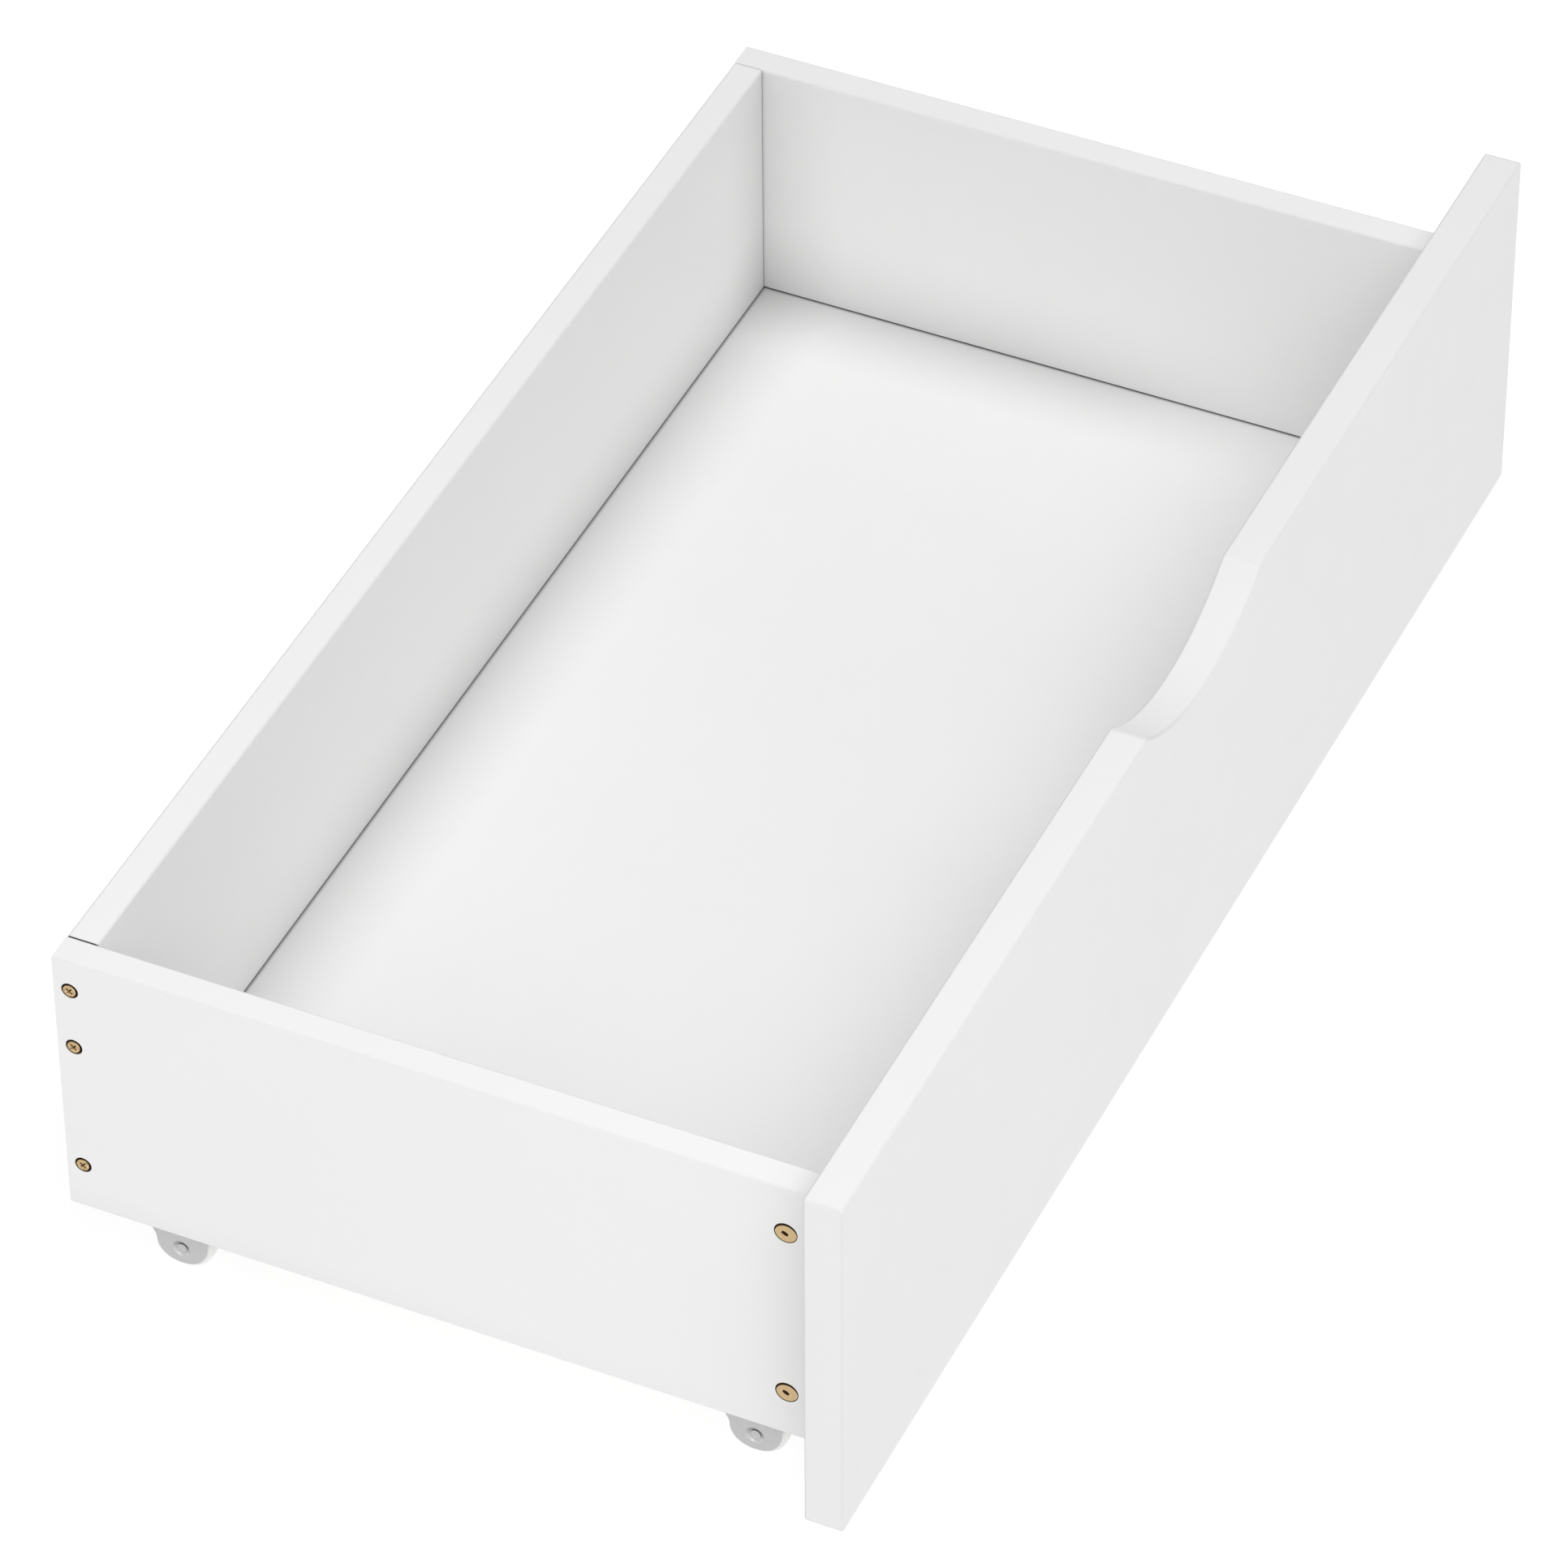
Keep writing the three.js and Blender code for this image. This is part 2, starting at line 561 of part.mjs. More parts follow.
for (const [side, sign] of SIDES) {
  for (const [index, end] of ENDS.entries()) {
    const centre = [sign * CASTER_X, AXLE_YS[index], WHEEL.radius];
    place(`${end}_${side}_caster_bracket`, bracketShape, zinc, centre);
    place(`${end}_${side}_caster_wheel`, wheelShape, nylon, centre);
    place(`${end}_${side}_caster_axle`, axleShape, zinc, centre);
    let count = 0;
    for (const x of [-CASTER.screw.x, CASTER.screw.x]) {
      for (const step of [-CASTER.screw.y, CASTER.screw.y]) {
        count += 1;
        const headLevel = BOX_BOTTOM - CASTER.plate.thickness - 2 * GAP;
        place(`${end}_${side}_caster_screw_${count}`, casterScrewShape, zinc,
          [centre[0] + x, centre[1] + step, headLevel]);
      }
    }
  }
}

export default group;
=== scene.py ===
"""Under-bed box: a white lacquered drawer on four castors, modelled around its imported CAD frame.

Metres, +Z up, front panel facing -Y, floor at z = 0.
Each piece is placed by the box of the CAD node it stands for.
"""

import json
import math

import bmesh
import bpy
from mathutils import Matrix, Vector


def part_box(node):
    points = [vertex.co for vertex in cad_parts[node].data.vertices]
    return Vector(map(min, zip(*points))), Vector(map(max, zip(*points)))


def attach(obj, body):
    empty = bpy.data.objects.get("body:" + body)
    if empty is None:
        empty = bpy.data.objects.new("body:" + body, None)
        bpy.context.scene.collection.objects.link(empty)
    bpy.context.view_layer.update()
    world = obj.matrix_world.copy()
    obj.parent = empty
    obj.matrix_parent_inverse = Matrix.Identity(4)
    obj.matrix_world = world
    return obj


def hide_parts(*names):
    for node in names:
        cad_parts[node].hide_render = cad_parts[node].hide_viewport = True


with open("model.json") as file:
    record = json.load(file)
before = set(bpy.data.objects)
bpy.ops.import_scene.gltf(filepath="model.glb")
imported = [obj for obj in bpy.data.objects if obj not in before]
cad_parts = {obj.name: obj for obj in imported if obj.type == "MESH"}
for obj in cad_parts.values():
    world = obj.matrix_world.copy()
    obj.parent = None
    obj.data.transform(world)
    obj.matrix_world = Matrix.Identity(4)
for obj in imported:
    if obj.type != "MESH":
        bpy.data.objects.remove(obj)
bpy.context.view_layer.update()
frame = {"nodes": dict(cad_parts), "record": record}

MM = 0.001
GAP = 0.3 * MM                      # clearance that the CAD keeps between neighbours
NEAR = 1e-6                         # closer than this counts as the same place

# Boards
FRONT_EASE = 1.4 * MM               # rounding of the front panel's edges
FRONT_CORNER = 2.5 * MM
GRIP_CHORD = 155 * MM               # hand cut-out in the front panel's top edge
GRIP_DEPTH = 25 * MM
GRIP_KINK = 3 * MM                  # softening where the cut-out meets the top edge
BOARD_EASE = 1.5 * MM               # rounding of a box board's upper edges
BOARD_LOWER_EASE = 0.8 * MM
CUT_EDGE = 0.3 * MM                 # softening of a sawn edge
GROOVE_ABOVE = 0.8 * MM             # play over the floor panel in its grooves
PAINTED_DEPTH = 0.5 * MM            # cuts deeper than this show bare fibreboard

# Finishes, with painted shade and painted light
CORNER_SHADE_REACH = 55 * MM              # how far from a neighbour the painted corner shade reaches
# Strength of the painted corner shade on the lacquer and on the laminate.
LACQUER_CORNER_SHADE = 0.3
LAMINATE_CORNER_SHADE = 0.55
JOINT_SHADE_REACH = 2.2 * MM              # reach of the painted shade that draws a narrow dark line along a joint
# Strength of the painted joint shade on the back panel and on the floor.
WALL_JOINT_SHADE = 1.7
FLOOR_JOINT_SHADE = 1.4
# Painted corner shade along a panel: axis, where the shade starts to grow, where it is full, its share at the
# start (below 0: painted light instead of shade).
LEFT_SHADE = (1, -0.22, 0.05, 0.25)
RIGHT_SHADE = (1, -0.22, 0.05, -0.4)
BACK_SHADE = (0, -0.43, -0.05, -0.4)
FLOOR_SHADE = (1, -0.22, 0.0, -0.2)
# Painted light and shade by facing: the share that a face gains in lightness if it looks along each axis, and
# loses if it looks the other way.
CUT_OUT_PAINTED_LIGHT = (0.14, 0, 0)
DENT_PAINTED_LIGHT = (0, 0, 0.75)
EDGE_PAINTED_SHADE = 0.11                 # painted shade on a rounded edge, against the light it catches

# Rear screws
THREAD_PITCH = 1.9 * MM
THREAD_DEPTH = 0.55 * MM
SCREW_SHANK = 1.85 * MM
SCREW_CONE = 3 * MM                 # from the head's face to the shank
SCREW_PLAIN = 13 * MM               # length without thread
SCREW_TAPER = 4 * MM                # from the end of the thread to the tip
SCREW_CROSS = (2.6 * MM, 1.1 * MM, 1.9 * MM)    # reach, width, depth
SCREW_MOUTH = 4.9 * MM              # radius of the hole around a rear screw's head
SCREW_MOUTH_DEPTH = 2.6 * MM
SCREW_MOUTH_EASE = 0.3 * MM
SCREW_HOLE = 2.6 * MM
SCREW_HOLE_DEPTH = 20 * MM
SCREW_SAG = (0, -0.45 * MM, 0.65 * MM)  # the screw sits low in its hole: the gap is widest above and in front
SCREW_PILOT_INSET = 1.4 * MM        # how much narrower than the head the pilot hole is, in radius

# Cams, their bolts and the dowels
CAM_PLAY = 0.3 * MM                 # between a cam and its bore
CAM_BORE_EASE = 0.1 * MM
CAM_STEP = 1.5 * MM                 # the step in a cam's upper rim, at its widest; its faces carry a painted shadow
CAM_STEP_DEPTH = 1.2 * MM
CAM_TURN = 62                       # degrees
CAM_SLOT_OFFSET = (0, 0.6 * MM, -0.7 * MM)
CAM_SLOT_ARMS = (1.95 * MM, 1.2 * MM)
CAM_SLOT_HALF = 0.95 * MM
CAM_SLOT_DEPTH = 2.4 * MM
BOLT_CORE = 2.1 * MM
BOLT_THREADED = 11 * MM
BOLT_PITCH = 1.6 * MM
BOLT_THREAD_DEPTH = 0.5 * MM
BOLT_COLLAR = 0.72                  # radius, as a share of the head's
BOLT_NECK = 0.75                    # radius, as a share of the core's
DOWEL_FLUTES = 16
DOWEL_FLUTE_DEPTH = 0.22 * MM
DOWEL_CHAMFER = 1 * MM
DOWEL_PLAIN = 1.5 * MM              # length without flutes at each end

# Castors
FORK_OUTER = 20 * MM
FORK_SHEET = 1.5 * MM
FORK_BEND = 2.2 * MM
FORK_OUTER_BEND = 1 * MM
FORK_EDGE = 0.2 * MM
PLATE_THICKNESS = 1.8 * MM
PLATE_HOLE = 1.9 * MM
CHEEK_BAND = 0.4 * MM               # straight stretch under the plate
CHEEK_SHOULDER = 10 * MM            # heights over the axle of the points that shape the flare
CHEEK_WAIST = 8 * MM
CHEEK_BELLY = 3.5 * MM
CHEEK_WAIST_OUT = 0.2 * MM
CHEEK_HALF = 14.5 * MM
CHEEK_ROUND = (7.5 * MM, 5.5 * MM)  # beside and below the axle, the points that shape the round end
CHEEK_BELOW = 10 * MM
DIMPLE_DEPTH = 1.3 * MM
DIMPLE = [(5.7, -0.1), (5.3, 0.05), (5.05, 0.25), (4.3, 0.98), (3.95, 1.22), (3.5, 1.3)]  # radius, depth; mm
AXLE_RADIUS = 2.4 * MM
WHEEL_HALF = 6.5 * MM
PLATE_SCREW_SHANK = 1.25 * MM
PLATE_SCREW_HEAD = 1.7 * MM         # height
PLATE_SCREW_PITCH = 1.4 * MM
PLATE_SCREW_THREAD = 0.35 * MM
PLATE_SCREW_CROSS = (1.5 * MM, 0.75 * MM, 1.1 * MM)
PLATE_SCREW_PILOT_INSET = 0.8 * MM

# Stage, light and camera
STAGE_REACH = 9
STAGE_GREY = 0.2
STAGE_GLOW = 0.85
WORLD_LIGHT = 0.50
LIGHT_DISTANCE = 4.5
LIGHT_SIZE = 2.5
LIGHTS = {                          # direction from the object, watts
    "left": ((-0.68, -0.31, 0.66), 44),
    "front": ((-0.5, -1, 2), 36),
    "overhead": ((-0.3, -0.3, 1), 60),
}
LIGHT_AIM = Vector((0, 0, 0.1))
CAMERA_AZIMUTH = math.radians(65.14)
CAMERA_ELEVATION = math.radians(41.52)
CAMERA_ROLL = math.radians(0.39)
CAMERA_DISTANCE = 4.923
CAMERA_AIM = Vector((-0.0319, 0.0, 0.0950))
CAMERA_LENS = 204.96                # millimetres, for a sensor 36 mm wide
CAMERA_SHIFT = (0.0011, 0.0009)

BODY_OF = {
    node: body
    for body, nodes in frame["record"]["behaviour"]["bodies"].items()
    for node in nodes
}
DRAWER_NODES = sorted(node for node in frame["nodes"] if BODY_OF[node] == "drawer")


# ---------- meshes ----------

def to_object(name, bm):
    """The bmesh as an object in the scene, with its faces turned outwards."""
    bmesh.ops.recalc_face_normals(bm, faces=bm.faces)
    mesh = bpy.data.meshes.new(name)
    bm.to_mesh(mesh)
    bm.free()
    obj = bpy.data.objects.new(name, mesh)
    bpy.context.scene.collection.objects.link(obj)
    return obj


def apply_modifiers(obj):
    """Replaces the object's mesh by what its modifiers make of it."""
    bpy.context.view_layer.update()
    graph = bpy.context.evaluated_depsgraph_get()
    result = bpy.data.meshes.new_from_object(obj.evaluated_get(graph))
    old = obj.data
    obj.modifiers.clear()
    obj.data = result
    bpy.data.meshes.remove(old)


def boolean(obj, cutter_mesh, operation="DIFFERENCE"):
    """Cuts the object by one bmesh that holds all the cutters."""
    cutter = to_object(obj.name + "_cutter", cutter_mesh)
    modifier = obj.modifiers.new("cut", "BOOLEAN")
    modifier.operation = operation
    modifier.solver = "EXACT"
    modifier.use_self = True
    modifier.object = cutter
    apply_modifiers(obj)
    bpy.data.objects.remove(cutter)


def soften(obj, width, segments=2, angle=40):
    """Rounds the sharp edges that cutting left."""
    modifier = obj.modifiers.new("soften", "BEVEL")
    modifier.width = width
    modifier.segments = segments
    modifier.limit_method = "ANGLE"
    modifier.angle_limit = math.radians(angle)
    modifier.miter_outer = "MITER_ARC"
    apply_modifiers(obj)


def finish_surface(obj, angle=35):
    """Smooth shading on round stretches, with flat faces kept flat."""
    obj.data.polygons.foreach_set("use_smooth", [True] * len(obj.data.polygons))
    obj.data.set_sharp_from_angle(angle=math.radians(angle))
    modifier = obj.modifiers.new("flat_faces", "WEIGHTED_NORMAL")
    modifier.keep_sharp = True
    modifier.weight = 100


def stand_for(obj, node, surface, cut_surface=None):
    """The piece takes the place, body and finish of a CAD node. Deep cuts can show another surface."""
    finish_surface(obj)
    obj.data.materials.clear()
    obj.data.materials.append(surface)
    if cut_surface:
        low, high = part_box(node)
        if node == "front_panel":
            high.z -= GRIP_DEPTH        # the hand cut-out is lacquered
        paint_where(obj, cut_surface,
                    lambda face: min(min(face.center - low), min(high - face.center)) > PAINTED_DEPTH)
    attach(obj, BODY_OF[node])
    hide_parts(node)


def paint_where(obj, surface, test):
    """Gives the faces that pass the test one more surface."""
    obj.data.materials.append(surface)
    index = len(obj.data.materials) - 1
    for face in obj.data.polygons:
        if test(face):
            face.material_index = index


def add_block(bm, low, high):
    """A plain box between two corners; returns its vertices."""
    centre = (low + high) / 2
    size = high - low
    matrix = Matrix.Translation(centre) @ Matrix.Diagonal((*size, 1))
    return bmesh.ops.create_cube(bm, size=1, matrix=matrix)["verts"]


def pointing(origin, direction):
    """A frame at origin whose +Z points along direction."""
    turn = Vector((0, 0, 1)).rotation_difference(Vector(direction))
    return Matrix.Translation(origin) @ turn.to_matrix().to_4x4()


def rounded(points, setback, steps=4):
    """The polyline with every inner corner rounded; its two ends stay where they are."""
    path = [Vector(point) for point in points]
    out = [path[0]]
    for before, corner, after in zip(path, path[1:], path[2:]):
        back, ahead = before - corner, after - corner
        reach = min(setback, 0.45 * back.length, 0.45 * ahead.length)
        start = corner + back.normalized() * reach
        end = corner + ahead.normalized() * reach
        for step in range(steps + 1):
            t = step / steps
            out.append(start * (1 - t) ** 2 + corner * (2 * t * (1 - t)) + end * t**2)
    out.append(path[-1])
    return [tuple(point) for point in out]


def add_turned(bm, profile, segments, matrix, shape=None):
    """Turns (radius, height) pairs about the frame's Z. A profile that ends where it starts makes a ring."""
    ring_shaped = profile[0] == profile[-1]
    rings = []
    for radius, height in profile[:-1] if ring_shaped else profile:
        if radius < 1e-7:
            rings.append([bm.verts.new(matrix @ Vector((0, 0, height)))])
            continue
        ring = []
        for i in range(segments):
            angle = math.tau * i / segments
            r, h = shape(angle, radius, height) if shape else (radius, height)
            ring.append(bm.verts.new(matrix @ Vector((r * math.cos(angle), r * math.sin(angle), h))))
        rings.append(ring)
    pairs = list(zip(rings, rings[1:]))
    if ring_shaped:
        pairs.append((rings[-1], rings[0]))
    for low, high in pairs:
        for i in range(segments):
            j = (i + 1) % segments
            corners = [low[i % len(low)], low[j % len(low)], high[j % len(high)], high[i % len(high)]]
            bm.faces.new(list(dict.fromkeys(corners)))


def turned(name, profile, segments, matrix, shape=None):
    bm = bmesh.new()
    add_turned(bm, profile, segments, matrix, shape)
    return to_object(name, bm)


def add_prism(bm, outline, matrix, depth):
    """Extrudes a closed XY outline along the frame's Z."""
    face = bm.faces.new([bm.verts.new(matrix @ Vector((x, y, 0))) for x, y in outline])
    grown = bmesh.ops.extrude_face_region(bm, geom=[face])["geom"]
    moved = [item for item in grown if isinstance(item, bmesh.types.BMVert)]
    bmesh.ops.translate(bm, verts=moved, vec=matrix.to_3x3() @ Vector((0, 0, depth)))


def add_bore(bm, mouth, inward, radius, depth, chamfer, segments=48):
    """A straight hole that starts just outside its mouth, with a chamfer round the mouth."""
    profile = [(0, -MM), (radius + chamfer + MM, -MM), (radius, chamfer), (radius, depth), (0, depth)]
    add_turned(bm, profile, segments, pointing(mouth, inward))


def add_rod(bm, start, direction, radius, length, segments):
    """A plain round rod that cuts a hole."""
    add_turned(bm, [(0, 0), (radius, 0), (radius, length), (0, length)], segments, pointing(start, direction))


def box_of(node):
    """Low corner, high corner, centre and size of a CAD node."""
    low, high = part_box(node)
    return low, high, (low + high) / 2, high - low


# ---------- surfaces ----------

class Surface:
    """A node material being built: the shader, the texture coordinates and small helpers."""

    def __init__(self, name, roughness, metallic=0.0):
        self.material = bpy.data.materials.new(name)
        self.material.use_nodes = True
        self.tree = self.material.node_tree
        self.shader = self.tree.nodes["Principled BSDF"]
        self.shader.inputs["Roughness"].default_value = roughness
        self.shader.inputs["Metallic"].default_value = metallic
        coordinates = self.tree.nodes.new("ShaderNodeTexCoord")
        self.place = coordinates.outputs["Object"]
        self.facing = coordinates.outputs["Normal"]
        self.bumped = None

    def link(self, a, b):
        self.tree.links.new(a, b)

    def stretched(self, scale):
        mapping = self.tree.nodes.new("ShaderNodeMapping")
        mapping.inputs["Scale"].default_value = scale
        self.link(self.place, mapping.inputs["Vector"])
        return mapping.outputs["Vector"]

    def noise(self, scale, detail=3.0, roughness=0.5, vector=None):
        node = self.tree.nodes.new("ShaderNodeTexNoise")
        node.inputs["Scale"].default_value = scale
        node.inputs["Detail"].default_value = detail
        node.inputs["Roughness"].default_value = roughness
        self.link(vector or self.place, node.inputs["Vector"])
        return node.outputs["Fac"]

    def spots(self, scale):
        node = self.tree.nodes.new("ShaderNodeTexVoronoi")
        node.inputs["Scale"].default_value = scale
        self.link(self.place, node.inputs["Vector"])
        return node.outputs["Distance"]

    def colour(self, factor, stops):
        """Base colour from a factor, through (position, rgb) stops."""
        ramp = self.tree.nodes.new("ShaderNodeValToRGB")
        elements = ramp.color_ramp.elements
        for extra in stops[2:]:
            elements.new(extra[0])
        for element, (position, rgb) in zip(elements, sorted(stops)):
            element.position = position
            element.color = (*rgb, 1)
        self.link(factor, ramp.inputs["Fac"])
        self.base = ramp.outputs["Color"]
        self.link(self.base, self.shader.inputs["Base Color"])

    def shade(self, factor):
        """Scales the base colour."""
        scaled = self.tree.nodes.new("ShaderNodeVectorMath")
        scaled.operation = "SCALE"
        self.link(self.base, scaled.inputs[0])
        self.link(factor, scaled.inputs["Scale"])
        self.base = scaled.outputs["Vector"]
        self.link(self.base, self.shader.inputs["Base Color"])

    def painted_facing_light(self, direction):
        """Painted light and shade: lightens what faces the way direction points, and darkens what faces away.
        """
        facing = self.tree.nodes.new("ShaderNodeVectorMath")
        facing.operation = "DOT_PRODUCT"
        facing.inputs[1].default_value = direction
        self.link(self.facing, facing.inputs[0])
        amount = self.tree.nodes.new("ShaderNodeMath")
        amount.operation = "ADD"
        amount.inputs[1].default_value = 1
        self.link(facing.outputs["Value"], amount.inputs[0])
        self.shade(amount.outputs["Value"])

    def paint_corner_shade(self, reach, power, growing=None):
        """Painted shade: darkens corners and gaps within reach of a neighbour, where shade falls.

        growing is an axis, the two places along it between which the painted shade grows, and its share at
        the first; a share below 0 paints light there instead.
        """
        nearby = self.tree.nodes.new("ShaderNodeAmbientOcclusion")
        nearby.samples = 8
        nearby.inputs["Distance"].default_value = reach
        amount = self.tree.nodes.new("ShaderNodeMath")
        amount.operation = "POWER"
        amount.inputs[1].default_value = power
        self.link(nearby.outputs["AO"], amount.inputs[0])
        if growing:
            axis, start, end, share = growing
            parts = self.tree.nodes.new("ShaderNodeSeparateXYZ")
            self.link(self.place, parts.inputs["Vector"])
            grown = self.tree.nodes.new("ShaderNodeMapRange")
            grown.inputs["From Min"].default_value = start
            grown.inputs["From Max"].default_value = end
            grown.inputs["To Min"].default_value = power * share
            grown.inputs["To Max"].default_value = power
            self.link(parts.outputs[axis], grown.inputs["Value"])
            self.link(grown.outputs["Result"], amount.inputs[1])
        self.shade(amount.outputs["Value"])

    def paint_edge_shade(self, amount):
        """Painted shade: darkens rounded edges, which catch more light than the faces beside them. Faces
        square to the axes stay as they are.
        """
        size = self.tree.nodes.new("ShaderNodeVectorMath")
        size.operation = "ABSOLUTE"
        self.link(self.facing, size.inputs[0])
        total = self.tree.nodes.new("ShaderNodeVectorMath")
        total.operation = "DOT_PRODUCT"
        total.inputs[1].default_value = (1, 1, 1)
        self.link(size.outputs["Vector"], total.inputs[0])
        scaled = self.tree.nodes.new("ShaderNodeMapRange")
        scaled.inputs["From Min"].default_value = 1
        scaled.inputs["From Max"].default_value = math.sqrt(2)
        scaled.inputs["To Min"].default_value = 1
        scaled.inputs["To Max"].default_value = 1 - amount
        self.link(total.outputs["Value"], scaled.inputs["Value"])
        self.shade(scaled.outputs["Result"])

    def roughness(self, factor, low, high):
        scaled = self.tree.nodes.new("ShaderNodeMapRange")
        scaled.inputs["From Min"].default_value = 0.3
        scaled.inputs["From Max"].default_value = 0.7
        scaled.inputs["To Min"].default_value = low
        scaled.inputs["To Max"].default_value = high
        self.link(factor, scaled.inputs["Value"])
        self.link(scaled.outputs["Result"], self.shader.inputs["Roughness"])

    def bump(self, height, depth, strength=1.0):
        """Relief of a height texture, added to any relief already there. depth is in metres."""
        node = self.tree.nodes.new("ShaderNodeBump")
        node.inputs["Strength"].default_value = strength
        node.inputs["Distance"].default_value = depth
        self.link(height, node.inputs["Height"])
        if self.bumped:
            self.link(self.bumped, node.inputs["Normal"])
        self.bumped = node.outputs["Normal"]
        self.link(self.bumped, self.shader.inputs["Normal"])


def white_lacquer(name, white, growing=None, joint_shade=0, painted_facing_light=None):
    """Sprayed satin lacquer: faint orange peel, very slight cloudiness. Painted shade on rounded edges, or
    painted light and shade by facing, and painted shade in corners and joints where asked.
    """
    s = Surface(name, 0.5)
    s.shader.inputs["Specular IOR Level"].default_value = 0.3
    low, high = ((level, level, level - 0.002) for level in (white, white + 0.01))
    s.colour(s.noise(7, 4, 0.6), [(0.3, low), (0.7, high)])
    if painted_facing_light:
        s.painted_facing_light(painted_facing_light)
    else:
        s.paint_edge_shade(EDGE_PAINTED_SHADE)
    if growing:
        s.paint_corner_shade(CORNER_SHADE_REACH, LACQUER_CORNER_SHADE, growing)
    if joint_shade:
        s.paint_corner_shade(JOINT_SHADE_REACH, joint_shade)
    s.roughness(s.noise(35, 3), 0.48, 0.60)
    s.bump(s.noise(420, 2, 0.4), 0.02 * MM, 0.5)
    s.bump(s.noise(60, 2, 0.5), 0.04 * MM, 0.4)
    return s.material


def floor_laminate():
    """White laminated hardboard: finer and a little rougher than the lacquer. Painted shade in corners and
    along joints, turning to painted light towards the front.
    """
    s = Surface("floor_laminate", 0.5)
    s.colour(s.noise(11, 4, 0.6), [(0.3, (0.835, 0.835, 0.833)), (0.7, (0.845, 0.845, 0.843))])
    s.paint_corner_shade(CORNER_SHADE_REACH, LAMINATE_CORNER_SHADE, FLOOR_SHADE)
    s.paint_corner_shade(JOINT_SHADE_REACH, FLOOR_JOINT_SHADE)
    s.roughness(s.noise(50, 3), 0.46, 0.56)
    s.bump(s.noise(900, 2, 0.6), 0.015 * MM, 0.6)
    return s.material


def raw_fibreboard():
    """Bare fibreboard inside a bore or a groove: brown, fuzzy, with short fibres, and painted shade in its
    corners.
    """
    s = Surface("raw_fibreboard", 0.85)
    fibres = s.noise(900, 5, 0.7)
    s.colour(fibres, [(0.3, (0.13, 0.075, 0.035)), (0.7, (0.24, 0.15, 0.08))])
    s.paint_corner_shade(4 * MM, 0.8)
    s.bump(fibres, 0.15 * MM, 0.8)
    return s.material


def primed_board():
    """Matt primer over fibreboard, with the fibres showing."""
    s = Surface("primed_board", 0.7)
    fibres = s.noise(260, 5, 0.65, s.stretched((1, 0.25, 1)))
    s.colour(fibres, [(0.3, (0.62, 0.60, 0.56)), (0.7, (0.72, 0.705, 0.67))])
    s.roughness(s.noise(90, 3), 0.62, 0.8)
    s.bump(fibres, 0.06 * MM, 0.6)
    return s.material


def beech():
    """Bare beech: long grain along Y and short dark flecks."""
    s = Surface("beech", 0.6)
    grain = s.noise(420, 5, 0.6, s.stretched((1, 0.06, 1)))
    s.colour(grain, [(0.32, (0.42, 0.255, 0.13)), (0.5, (0.56, 0.37, 0.205)), (0.68, (0.65, 0.45, 0.27))])
    s.roughness(grain, 0.55, 0.72)
    s.bump(grain, 0.05 * MM, 0.5)
    return s.material


def yellow_steel(name, scale, stops):
    """Yellow passivated steel: warm tan metal, cloudy at the given scale, with painted shade in its corners
    and gaps.
    """
    s = Surface(name, 0.42, 0.6)
    s.colour(s.noise(scale, 4, 0.6), stops)
    s.paint_corner_shade(1.6 * MM, 0.9)
    s.roughness(s.noise(1400, 3), 0.36, 0.52)
    s.bump(s.noise(2600, 3), 0.012 * MM, 0.6)
    return s.material


def cast_metal_painted_shadow():
    """The dark, rough side of a die-cast disc; its very dark brown is also a painted shadow on the cam's
    stepped rim and sides.
    """
    s = Surface("dark_casting_painted_shadow", 0.7, 0.3)
    s.colour(s.noise(1200, 4, 0.6), [(0.3, (0.075, 0.038, 0.012)), (0.7, (0.12, 0.065, 0.025))])
    s.bump(s.noise(1800, 3), 0.04 * MM, 0.7)
    return s.material


def zinc(name, painted_facing_light=None):
    """Zinc plated sheet: grey with a faint spangle and rolling lines, painted shade in its corners, and
    painted light and shade by facing where asked.
    """
    s = Surface(name, 0.4, 0.35)
    s.colour(s.spots(420), [(0.05, (0.52, 0.52, 0.525)), (0.6, (0.555, 0.555, 0.56))])
    if painted_facing_light:
        s.painted_facing_light(painted_facing_light)
    s.paint_corner_shade(1.2 * MM, 0.5)
    s.roughness(s.noise(700, 4, 0.6, s.stretched((1, 0.15, 1))), 0.34, 0.46)
    s.bump(s.noise(1500, 3, 0.6, s.stretched((1, 0.2, 1))), 0.012 * MM, 0.5)
    return s.material


def nylon():
    """Moulded white nylon with a fine moulding texture."""
    s = Surface("white_nylon", 0.42)
    s.shader.inputs["Subsurface Weight"].default_value = 0.08
    s.shader.inputs["Subsurface Scale"].default_value = 2 * MM
    s.colour(s.noise(160, 3), [(0.3, (0.865, 0.865, 0.86)), (0.7, (0.89, 0.89, 0.885))])
    s.roughness(s.noise(320, 3), 0.38, 0.5)
    s.bump(s.noise(1500, 2), 0.012 * MM, 0.5)
    return s.material


# Copies of one lacquer, one for each panel, that differ in painted corner shade and in a slightly different
# white (0.81 to 0.85) set to each panel's brightness: painted light and shade.
SIDE_LACQUER_PAINTED_SHADE = {
    "left": white_lacquer("white_lacquer_left_painted_shade", 0.845, LEFT_SHADE),
    "right": white_lacquer("white_lacquer_right_painted_shade", 0.85, RIGHT_SHADE),
}
BACK_LACQUER_PAINTED_SHADE = white_lacquer("white_lacquer_back_painted_shade", 0.85, BACK_SHADE, WALL_JOINT_SHADE)
FRONT_LACQUER = white_lacquer("white_lacquer_front", 0.81)
